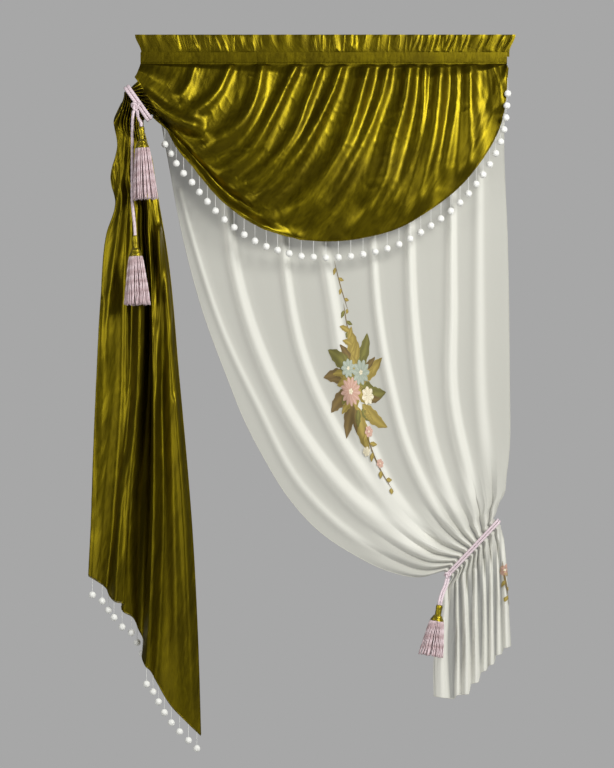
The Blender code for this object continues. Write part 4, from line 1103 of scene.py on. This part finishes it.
SOFT_FOLD = 1.5 * MM
FINE_FOLD = 0.3 * MM
TIE_PLEAT = 5.0 * MM
SKIRT_CREASE = 1.5 * MM
VOILE_CREST = 0.022
SKIRT_CREST = 0.012
voile_share = np.linspace(0, 1, VOILE_COLUMNS)
rows = [flat_row(VOILE_LEFT[0][0], VOILE_RIGHT[0][0], voile_share, VOILE_Y, VOILE_TOP)]
rows += [voile_row(voile_share, fall) for fall in np.linspace(0, 1, VOILE_ROWS)]
rows += [skirt_row(voile_share, fall) for fall in np.linspace(0, 1, SKIRT_ROWS) ** 1.2]
voile_grid = np.array(rows)
voile_neck = VOILE_ROWS
u, v, front = measured(voile_grid)
to_tie = np.abs(v - v[voile_neck][None])
from_neck = smooth((to_tie - 0.026) / 0.05)
near_neck = np.exp(-(to_tie / 0.13) ** 2)
below = (np.arange(len(v))[:, None] > voile_neck) * 1.0
wide = np.broadcast_to(voile_share, u.shape)
press = hills(wide * 16, v / 0.75, 41) * SOFT_FOLD + hills(wide * 44, v / 0.5, 42) * FINE_FOLD
wander = 0.3 * hills(v / 0.05, wide * 8, 44)
press += creases(wide * 34 + wander, v / 0.12, 43) * TIE_PLEAT * near_neck
press += creases(wide * 30, v / 0.6, 46) * SKIRT_CREASE * below
press *= from_neck * smooth((v - 0.035) / 0.05)
voile_grid = voile_grid + front * press[..., None]
# The fold map sets the voile's see-through and its painted shade: grey in hollows, white on crests.
fold_layers_and_shade = [crest_heights(row[:, (0, 2)], VOILE_CRESTS) / VOILE_CREST for row in voile_grid]
fold_layers_and_shade = 0.2 + 0.8 * smooth((np.array(fold_layers_and_shade) - 0.15) / 0.50)
skirt_layers_and_shade = [crest_heights(row[:, (0, 2)], SKIRT_CRESTS) / SKIRT_CREST for row in voile_grid]
skirt_layers_and_shade = smooth((np.array(skirt_layers_and_shade) - 0.25) / 0.5)
fold_layers_and_shade = fold_layers_and_shade * (1 - below) + skirt_layers_and_shade * below
gathered = 0.50 + 0.50 * bundle(VOILE_FOLDS, voile_share)
fold_layers_and_shade = fold_layers_and_shade + (gathered - fold_layers_and_shade) * np.exp(-(to_tie / 0.07) ** 2)
voile_panel = sheet_mesh("voile_panel_cloth", voile_grid, u, v, voile, fold_layers_and_shade)
place(voile_panel, "white_voile", "voile_panel")
voile_places = (u, v)
print("voile area", round(sheet_area(voile_grid), 3), "m2")

# %% [markdown]
# ## The heading
# A tape behind the heading draws the frill into narrow uneven rucks, while the band below it is
# sewn flat. The rucks bunch in places and leave others nearly smooth.

# %% Frill
FRILL_COLUMNS = 1300
FRILL_ROWS = 26
RUCK = 5.0 * MM
FINE_RUCK = 0.8 * MM
TOP_WAVE = 1.5 * MM
frill_share = np.linspace(0, 1, FRILL_COLUMNS)
drop = np.linspace(0, FRILL_HEIGHT, FRILL_ROWS)[:, None]
bunched = 0.15 + 0.85 * smooth(0.55 + 0.9 * hills(frill_share * 14, 0 * frill_share, 51))
across = frill_share * 2 * HEADING_HALF
lean = 0.006 * hills(across / 0.03, 0 * across, 52)
pinch = creases((across + lean * drop / 0.03) / 0.019, drop / 0.12, 53) * RUCK
pinch = pinch + creases((across - lean * drop / 0.03) / 0.0075, drop / 0.12, 54) * FINE_RUCK
middle = np.sin(math.pi * np.clip(drop / FRILL_HEIGHT, 0, 1)) ** 0.6
wave = TOP_WAVE * np.sin(2 * math.pi * across / 0.055) * (1 - drop / FRILL_HEIGHT)
ruck = pinch * bunched * middle + wave
half = HEADING_HALF + (FRILL_ROOT_HALF - HEADING_HALF) * smooth(drop / FRILL_HEIGHT)
frill_grid = np.stack([(2 * frill_share - 1) * half, SEAM_Y - ruck,
                       np.broadcast_to(-drop, ruck.shape)], -1)
root = frill_grid[-1].copy()
root[:, 2] = -FRILL_ROOT
frill_grid = np.concatenate([frill_grid, root[None]])
u, v, front = measured(frill_grid)
frill = sheet_mesh("heading_frill_rucks", frill_grid, u, v, satin)
place(frill, "olive_satin", "heading_frill")
print("frill area", round(sheet_area(frill_grid), 3), "m2")

# %% Band
BAND_FRONT = -0.0040
BAND_THICK = 0.0020
BAND_COLUMNS = 420
BAND_ROWS = 14
band_share = np.linspace(0, 1, BAND_COLUMNS)
fall = np.linspace(0, 1, BAND_ROWS)[:, None]
pull = hills(band_share * 48, fall * 1.5, 61) * 0.2 * MM * np.sin(math.pi * fall)
tucked = BAND_THICK * 0.5 * (1 - np.sin(math.pi * np.clip(fall, 0.02, 0.98)) ** 0.25)
band_y = BAND_FRONT + tucked - pull
band_x = BAND_LEFT + band_share * (BAND_RIGHT - BAND_LEFT)
band_z = -FRILL_HEIGHT + fall * (BAND_BOTTOM + FRILL_HEIGHT)
band_grid = np.stack(np.broadcast_arrays(band_x, band_y, band_z), -1)
u, v, front = measured(band_grid)
band = sheet_mesh("heading_band_cloth", band_grid, u, v, satin)
place(band, "olive_satin", "heading_band")

# %% [markdown]
# ## Hems
# A cut edge is turned in and sewn, so it is rounder and thicker than the cloth. A thin roll along
# each free edge gives the sheet that edge, and hides that it is a single layer.

# %% Rolled hems
SATIN_ROLL = 1.5 * MM
VOILE_ROLL = 1.0 * MM
ROLL_SIDES = 8
ROLL_STEP = 4 * MM


def rolled_hem(name, edge, radius, finish):
    """A thin roll along an edge. Its fold map says that it is half way between fold and hollow."""
    points = resample(edge, ROLL_STEP)[0]
    one, two = frames_along(points, False)[1:]
    angle = round_angles(ROLL_SIDES)
    rings = rings_round(points, one, two, angle, radius)
    s = np.arange(len(points))[:, None] * ROLL_STEP
    flat = pairs(angle[None] * radius, s)
    roll = add_mesh(name, rings.reshape(-1, 3), tube(rings, False), finish, flat.reshape(-1, 2))
    add_fold_map(roll, np.full(len(roll.data.vertices), 0.5))
    return roll


last = TAIL_COLUMNS - 1
swag_hem = np.concatenate([satin_grid[turn_row + 1:neck_row, last][::-1], satin_grid[turn_row, last:]])
tail_hem = satin_grid[-1, :TAIL_COLUMNS]
tail = satin_grid[neck_row + 8:]
satin_hems = [rolled_hem(name, edge, SATIN_ROLL, satin) for name, edge in (
    ("swag_hem", swag_hem), ("tail_hem", tail_hem), ("tail_left_edge", tail[:, 0]),
    ("tail_right_edge", tail[:, last]))]
upper = voile_grid[2:voile_neck - 4]
skirt = voile_grid[voile_neck + 6:]
voile_hems = [rolled_hem(name, edge, VOILE_ROLL, voile) for name, edge in (
    ("voile_left_edge", upper[:, 0]), ("voile_right_edge", upper[:, -1]), ("voile_hem", voile_grid[-1]),
    ("skirt_left_edge", skirt[:, 0]), ("skirt_right_edge", skirt[:, -1]))]
for hem in satin_hems:
    place(hem, "olive_satin", "swag_and_tail")
for hem in voile_hems:
    place(hem, "white_voile", "voile_panel")

# %% [markdown]
# ## The pompom fringe
# A pompom is a tuft of wool yarns tied in the middle and clipped round. Each is a lumpy ball with
# short fibres that stand out of it, on a thin string from a narrow braid sewn along the hem.

# %% One pompom
POMPOM = 0.026
POMPOM_DROP = 0.056
POMPOM_STEP = 0.042
FRINGE_TAPE = 0.0030
SWAG_TAPE_GAP = 0.0013
TAIL_TAPE_GAP = 0.0020
FRINGE_TAPE_THICK = 0.0016
STRING = 0.0016
STRING_LEVELS = 12
TAPE_SIDES = 8
TAPE_STEP = 3 * MM
FIBRES = 240
FIBRE_HALF_WIDTH = 0.45 * MM
BALL_ROWS = 18
BALL_SIDES = 28


def pompom(centre, seed):
    """Points and faces of one ball with its fibres, and each point's place on the flat map."""
    rng = np.random.default_rng(seed)
    polar = np.linspace(0.12, math.pi - 0.12, BALL_ROWS)[:, None]
    angle = round_angles(BALL_SIDES)[None] + rng.random() * 6
    out = np.stack([np.sin(polar) * np.cos(angle), np.sin(polar) * np.sin(angle),
                    np.broadcast_to(np.cos(polar), (BALL_ROWS, BALL_SIDES))], -1)
    lump = (creases(out[..., 0] * 4 + seed, out[..., 2] * 4, seed)
            + creases(out[..., 1] * 4, out[..., 2] * 4 + seed, seed + 1) - 1)
    radius = POMPOM / 2 * (0.90 + 0.05 * lump)
    points = (centre + out * radius[..., None]).reshape(-1, 3)
    faces = tube(out, False)
    flat = pairs(angle / 2, np.cos(polar) * POMPOM).reshape(-1, 2)
    way = unit(rng.normal(size=(FIBRES, 3)))
    side = unit(np.cross(way, rng.normal(size=(FIBRES, 3))))
    reach = POMPOM / 2 * rng.uniform(0.95, 1.04, (FIBRES, 1))
    foot = centre + way * POMPOM / 2 * 0.84
    tip = centre + unit(way + side * 0.12) * reach
    half = side * FIBRE_HALF_WIDTH
    blades = np.stack([foot - half, foot + half, tip], 1).reshape(-1, 3)
    number = len(points) + np.arange(FIBRES * 3).reshape(-1, 3)
    return (np.concatenate([points, blades]), faces + number.tolist(),
            np.concatenate([flat, np.zeros((FIBRES * 3, 2))]))


# %% Fringe along a hem
def fringe(name, node, hem, gap, outward, across, forward, keep):
    """A braid beside the hem, and pompoms that hang from it on strings, every 42 mm."""
    places = np.concatenate([[0], np.cumsum(np.linalg.norm(np.diff(hem, axis=0), axis=1))])

    def read(values, at):
        columns = range(values.shape[1])
        return np.stack([np.interp(at, places, values[:, column]) for column in columns], -1)

    stations = np.arange(0, places[-1], TAPE_STEP)
    out = unit(read(outward, stations))
    centre = read(hem, stations)
    side = unit(np.cross(np.gradient(centre, axis=0), out))
    angle = round_angles(TAPE_SIDES)
    twist = 1 + 0.16 * np.cos(2 * math.pi * stations / (6 * MM))[:, None]
    reach = gap + FRINGE_TAPE * (0.5 + 0.5 * np.cos(angle) * twist)
    thick = np.sin(angle) * FRINGE_TAPE_THICK / 2 * twist
    braid = centre[:, None] + out[:, None] * reach[..., None] + side[:, None] * thick[..., None]
    parts = [(braid, tube(braid, False), pairs(angle[None], stations[:, None]))]
    braid_faces = len(parts[0][1])
    levels = np.linspace(0, POMPOM_DROP - POMPOM * 0.42, STRING_LEVELS)
    quarter = angle[::2]
    ring = np.stack([np.cos(quarter), np.sin(quarter), 0 * quarter], -1) * STRING * 0.42
    hung = 0
    for count, middle in enumerate(np.arange(POMPOM_STEP * 0.4, places[-1] - STRING, POMPOM_STEP)):
        spot = read(hem, [middle])[0]
        if not keep(spot, read(across, [middle])[0]):
            continue
        root = spot + unit(read(outward, [middle]))[0] * (gap + FRINGE_TAPE * 0.6)
        push = np.array([0, -1, 0]) * read(forward, [middle])[0][0]
        string = root + push * np.clip(levels / 0.02, 0, 1)[:, None] - [0, 0, 1] * levels[:, None]
        rings = string[:, None] + ring[None]
        parts.append((rings, tube(rings, False), pairs(quarter[None], levels[:, None])))
        parts.append(pompom(root + push - [0, 0, POMPOM_DROP], 100 + count))
        hung += 1
    points, faces, flat = merged(parts)
    obj = add_mesh(name, points, faces, [white_wool, satin], flat)
    obj.data.polygons.foreach_set("material_index", np.arange(len(faces)) < braid_faces)
    print(name, "holds", hung, "pompoms")
    return place(obj, "white_pompom", node)


tangent = np.gradient(swag_hem, axis=0)
outward = unit(np.stack([tangent[:, 2], np.zeros(len(tangent)), -tangent[:, 0]], -1))
rightward = np.tile([1.0, 0.0, 0.0], (len(swag_hem), 1))
steep = np.clip((swag_hem[:, :1] - 0.54) / 0.05, 0, 1) * (POMPOM / 2 + 0.006)
swag_fringe = fringe("swag_pompoms", "swag_fringe", swag_hem, SWAG_TAPE_GAP, outward, rightward, steep,
                     lambda spot, run: spot[0] > -0.57)
level = np.gradient(tail_hem, axis=0) * [1, 1, 0]
downward = np.tile([0.0, 0.0, -1.0], (len(tail_hem), 1))
tail_fringe = fringe("tail_pompoms", "tail_fringe", tail_hem, TAIL_TAPE_GAP, downward, level,
                     np.zeros((len(tail_hem), 1)), lambda spot, run: run[0] > 0.3 * abs(run[1]))

# %% [markdown]
# ## The printed bouquet
# A column of flowers is printed on the voile with thin dyes. It is drawn here as petals and leaves,
# each a small patch of points on the flat cloth. Each point is then carried to the same place on
# the hanging cloth, a fraction of a millimetre in front of it, so that the print folds with it.

# %% Print dyes
def dye_finish(name, inner, outer, vein):
    """Matt dye printed on voile, from its inner to its outer colour, with faint veins."""
    finish, tree, shader = new_finish(name)
    blotch = pattern(tree, "TexNoise", 0.35, 0.5, {"Detail": 4.0})
    veins = pattern(tree, "TexWave", 0.30, 3.0, {"Distortion": 2.5, "Detail": 2.0},
                    bands_direction="DIAGONAL")
    spot = add_node(tree, "SeparateXYZ", {"Vector": scaled_map(tree, 1.0, 1.0)})
    grade = add_node(tree, "Math", {0: spot.outputs["Y"], 1: blotch, 2: -0.15},
                     operation="MULTIPLY_ADD", use_clamp=True).outputs["Value"]
    ground = mixed_colour(tree, grade, linear(inner), linear(outer))
    amount = add_node(tree, "Math", {0: veins, 1: 0.45}, operation="MULTIPLY").outputs["Value"]
    feed(tree, shader, {"Base Color": mixed_colour(tree, amount, ground, linear(vein)),
                        "Roughness": 0.8})
    return finish


dyes = [
    dye_finish("Printed gold leaf dye", "#A9954A", "#85732F", "#5F4F18"),
    dye_finish("Printed olive leaf dye", "#7E7A3A", "#5D5526", "#3F3A1C"),
    dye_finish("Printed brown leaf dye", "#7B6636", "#5E4A2A", "#3E301E"),
    dye_finish("Printed salmon petal dye", "#C39C8A", "#E2CDBD", "#A67B66"),
    dye_finish("Printed blue grey petal dye", "#A0A899", "#C9CDBF", "#84907F"),
    dye_finish("Printed cream petal dye", "#E4DCC0", "#F1EEE2", "#BCA878"),
]
GOLD_LEAF, OLIVE_LEAF, BROWN_LEAF, SALMON, BLUE_GREY, CREAM = range(6)

# %% Leaves, petals and stems on the flat cloth
PATCH_ROWS = 16
PATCH_COLUMNS = 7
drawing = []


def patch(spot, length, breadth, heading, dye, bend=0.0, shape=1.0, teeth=0):
    """One leaf or petal from its foot, towards a heading in degrees: 0 is down and 90 to the right."""
    share = np.linspace(0, 1, PATCH_ROWS)
    way = np.radians(heading) + bend * share
    middle = np.cumsum(np.stack([np.sin(way), np.cos(way)], -1), axis=0) * length / PATCH_ROWS
    side = np.stack([np.cos(way), -np.sin(way)], -1)
    swell = np.sin(math.pi * share ** shape) ** 0.75
    swell = swell * (1 - 0.22 * np.abs(np.sin(teeth * math.pi * share)) * (teeth > 0))
    across = np.linspace(-0.5, 0.5, PATCH_COLUMNS)
    reach = across[None] * (swell * breadth)[:, None]
    points = np.asarray(spot) + middle[:, None] + side[:, None] * reach[..., None]
    drawing.append((points, pairs(across[None], share[:, None]), dye))


def blossom(spot, radius, petals, dye, turn=0.0, rings=2):
    """Rings of petals round a small cream heart."""
    for ring in range(rings):
        reach = radius * (1 - 0.38 * ring)
        for k in range(petals - ring):
            heading = turn + ring * 23 + 360 * k / (petals - ring)
            patch(spot, reach, reach * 4.2 / petals, heading, dye, 0.25, 1.7)
    for k in range(5):
        patch(spot, radius * 0.22, radius * 0.16, turn + 72 * k, CREAM, 0, 1.2)


def spray(spot, length, heading, bend, leaves, dye, size=0.030):
    """A thin stem with leaves on both sides, by turns, that grow smaller towards its tip."""
    patch(spot, length, 0.0045, heading, BROWN_LEAF, bend, 0.9)
    for k in range(leaves):
        share = (k + 1) / (leaves + 0.4)
        way = math.radians(heading) + bend * share / 2
        foot = np.asarray(spot) + np.array([math.sin(way), math.cos(way)]) * length * share
        tilt = 48 if k % 2 else -48
        patch(foot, size * (1.1 - 0.5 * share), size * 0.5, heading + math.degrees(bend) * share + tilt,
              dye, 0.3, 0.8, 2)


PRINT_AXIS = {"place": (0.0, 0.3, 0.6, 0.9), "share": (0.445, 0.437, 0.395, 0.340)}
PRINT_TOP = 0.70
spray((0.0, 0.00), 0.20, 4, 0.1, 5, GOLD_LEAF, 0.030)
spray((0.010, 0.15), 0.16, -8, 0.2, 4, OLIVE_LEAF, 0.034)
for foot, length, breadth, heading, dye in (
        ((0.00, 0.40), 0.155, 0.064, 168, GOLD_LEAF), ((0.02, 0.40), 0.135, 0.058, 142, OLIVE_LEAF),
        ((0.03, 0.43), 0.125, 0.056, 104, GOLD_LEAF), ((0.03, 0.47), 0.120, 0.054, 66, OLIVE_LEAF),
        ((0.01, 0.50), 0.150, 0.060, 30, GOLD_LEAF), ((-0.01, 0.50), 0.165, 0.066, -8, GOLD_LEAF),
        ((-0.02, 0.48), 0.140, 0.060, -44, BROWN_LEAF), ((-0.03, 0.45), 0.130, 0.058, -78, BROWN_LEAF),
        ((-0.02, 0.41), 0.130, 0.056, -112, BROWN_LEAF),
        ((-0.01, 0.40), 0.140, 0.060, -146, OLIVE_LEAF)):
    patch(foot, length, breadth, heading, dye, 0.35, 0.8, 4)
for k in range(16):
    way = math.radians(22.5 * k + 8)
    foot = (0.034 * math.sin(way), 0.445 + 0.075 * math.cos(way))
    patch(foot, 0.062 + 0.014 * (k % 3), 0.032, 22.5 * k + 8 + 14 * (-1) ** k,
          (OLIVE_LEAF, GOLD_LEAF, BROWN_LEAF)[k % 3], 0.3, 0.8, 3)
for k in range(9):
    patch((0.004, 0.430), 0.095, 0.048, 40 * k + 16, (GOLD_LEAF, OLIVE_LEAF)[k % 2], 0.3, 0.8, 3)
for k in range(4):
    patch((0.008 * (-1) ** k, 0.262 + 0.024 * k), 0.050, 0.024, 180 + 46 * (-1) ** k, GOLD_LEAF,
          0.4, 0.8, 3)
blossom((-0.030, 0.455), 0.050, 13, SALMON, 10, 4)
blossom((0.034, 0.405), 0.044, 10, BLUE_GREY, 35, 3)
blossom((0.050, 0.488), 0.032, 7, CREAM, 12, 3)
blossom((-0.026, 0.378), 0.032, 9, BLUE_GREY, 50, 3)
spray((0.0, 0.57), 0.25, 4, 0.10, 7, GOLD_LEAF, 0.036)
for spot, radius, dye in (((0.014, 0.602), 0.020, SALMON), ((-0.016, 0.660), 0.017, CREAM),
                          ((0.024, 0.715), 0.016, SALMON)):
    blossom(spot, radius, 6, dye, 20, 2)
main_count = len(drawing)
spray((0.0, 0.0), 0.17, 2, 0.1, 6, GOLD_LEAF, 0.030)
blossom((0.006, 0.045), 0.020, 5, SALMON, 0, 1)
print("leaves and petals:", len(drawing))

# %% Carry the print to the hanging voile
PRINT_LIFT = 0.80 * MM
LAYER_LIFT = 0.012 * MM
TAKEN_IN = 0.78  # The bouquet is drawn wide, and the folds take up a part of its width
SPRIG_SHARE = 0.955
SPRIG_TOP = 0.135


def carried(points, share, top_row, top_place, lift):
    """Where flat points land on the hanging cloth, with the cloth's own column as their axis."""
    u, v = voile_places
    middle = int(round(share[0] * (VOILE_COLUMNS - 1)))
    axis = np.interp(points[..., 1], PRINT_AXIS["place"], share)
    column = np.round(axis * (VOILE_COLUMNS - 1)).astype(int)
    down = np.clip(points[..., 1] + top_place, 0, v[-1, middle] - v[top_row, middle] - MM)
    row = np.interp(down + v[top_row, middle], v[:, middle], np.arange(len(v)))
    r = np.floor(row).astype(int).clip(0, len(v) - 2)
    p = row - r
    spacing = (u[r, column + 3] - u[r, column - 3]) / 6
    place_across = axis * (VOILE_COLUMNS - 1) + points[..., 0] * TAKEN_IN / spacing
    place_across = np.clip(place_across, 0, VOILE_COLUMNS - 1.001)
    c = np.floor(place_across).astype(int)
    q = place_across - c
    weights = ((r, c, (1 - p) * (1 - q)), (r + 1, c, p * (1 - q)), (r, c + 1, (1 - p) * q),
               (r + 1, c + 1, p * q))
    spot = sum(voile_grid[i, j] * w[..., None] for i, j, w in weights)
    out = unit(sum(voile_front[i, j] * w[..., None] for i, j, w in weights))
    return spot + out * lift


voile_front = measured(voile_grid)[2]
patch_cells = grid_cells(np.arange(PATCH_ROWS * PATCH_COLUMNS).reshape(PATCH_ROWS, PATCH_COLUMNS))
parts, dye_of_face = [], []
for number, (patch_points, patch_flat, dye) in enumerate(drawing):
    if number < main_count:
        where = (PRINT_AXIS["share"], 0, PRINT_TOP)
    else:
        where = ((SPRIG_SHARE,) * 4, voile_neck, SPRIG_TOP)
    hung = carried(patch_points, *where, PRINT_LIFT + LAYER_LIFT * number)
    parts.append((hung, patch_cells.tolist(), patch_flat))
    dye_of_face += [dye] * len(patch_cells)
points, faces, flat = merged(parts)
bouquet = add_mesh("printed_bouquet", points, faces, dyes, flat)
bouquet.data.polygons.foreach_set("material_index", dye_of_face)
place(bouquet, "white_voile", "voile_panel")

# %% [markdown]
# ## How the sheets were cut
# Each sheet was cut flat before it was hung. The satin for the swag and its tail is one piece whose
# cut is far from a rectangle, and the voile's hem is cut on a slant.

# %% [markdown]
# ## Floor, backdrop and light
# The curtain hangs in a plain grey studio, so the world itself is the backdrop. It is paler to the
# camera than as a light, because a brighter light from all round would wash out the satin's dark
# folds. A pale floor lies below the picture. One large soft lamp in front and above makes the
# satin's folds shine, a second fills from the left, and a weak one behind lets the voile glow.

# %% Floor and light
FLOOR_Z = -2.78
FLOOR_HALF = 2.2
floor_finish, tree, shader = new_finish("Matt pale studio floor")
grain = add_node(tree, "TexNoise", {"Scale": 40.0, "Detail": 4.0}).outputs["Fac"]
floor_tone = mixed_colour(tree, grain, linear("#C6C6C6"), linear("#CCCCCC"))
feed(tree, shader, {"Base Color": floor_tone, "Roughness": 0.9})
corners = [(x * FLOOR_HALF, y * FLOOR_HALF, FLOOR_Z) for x, y in ((-1, -1), (1, -1), (1, 1), (-1, 1))]
floor = add_mesh("studio_floor", corners, [[0, 1, 2, 3]], floor_finish)

world = bpy.data.worlds.new("grey studio")
world.use_nodes = True
tree = world.node_tree
seen = add_node(tree, "Background", {"Color": linear("#A7A7A7")})
tree.nodes["Background"].inputs["Color"].default_value = linear("#565656")
rays = add_node(tree, "LightPath", {})
backdrop = add_node(tree, "MixShader", {0: rays.outputs["Is Camera Ray"],
                                        1: tree.nodes["Background"].outputs["Background"],
                                        2: seen.outputs["Background"]})
tree.links.new(backdrop.outputs["Shader"], tree.nodes["World Output"].inputs["Surface"])
bpy.context.scene.world = world
bpy.context.scene.view_settings.view_transform = "Standard"


def soft_lamp(name, spot, aim, size, watts):
    data = bpy.data.lights.new(name, "AREA")
    data.shape = "RECTANGLE"
    data.size, data.size_y = size
    data.energy = watts
    lamp = bpy.data.objects.new(name, data)
    lamp.location = spot
    away = np.asarray(spot, float) - np.asarray(aim, float)
    lamp.rotation_euler = (math.acos(away[2] / np.linalg.norm(away)), 0,
                           math.atan2(away[1], away[0]) + math.pi / 2)
    bpy.context.scene.collection.objects.link(lamp)


soft_lamp("front lamp", (3.2, -4.2, 1.2), (0.0, 0.0, -1.1), (2.6, 2.2), 385)
soft_lamp("left lamp", (-3.4, -2.8, -0.6), (-0.4, 0.0, -1.2), (1.8, 2.4), 70)
soft_lamp("back lamp", (0.8, 3.0, 0.2), (0.2, 0.0, -1.1), (2.0, 2.0), 25)
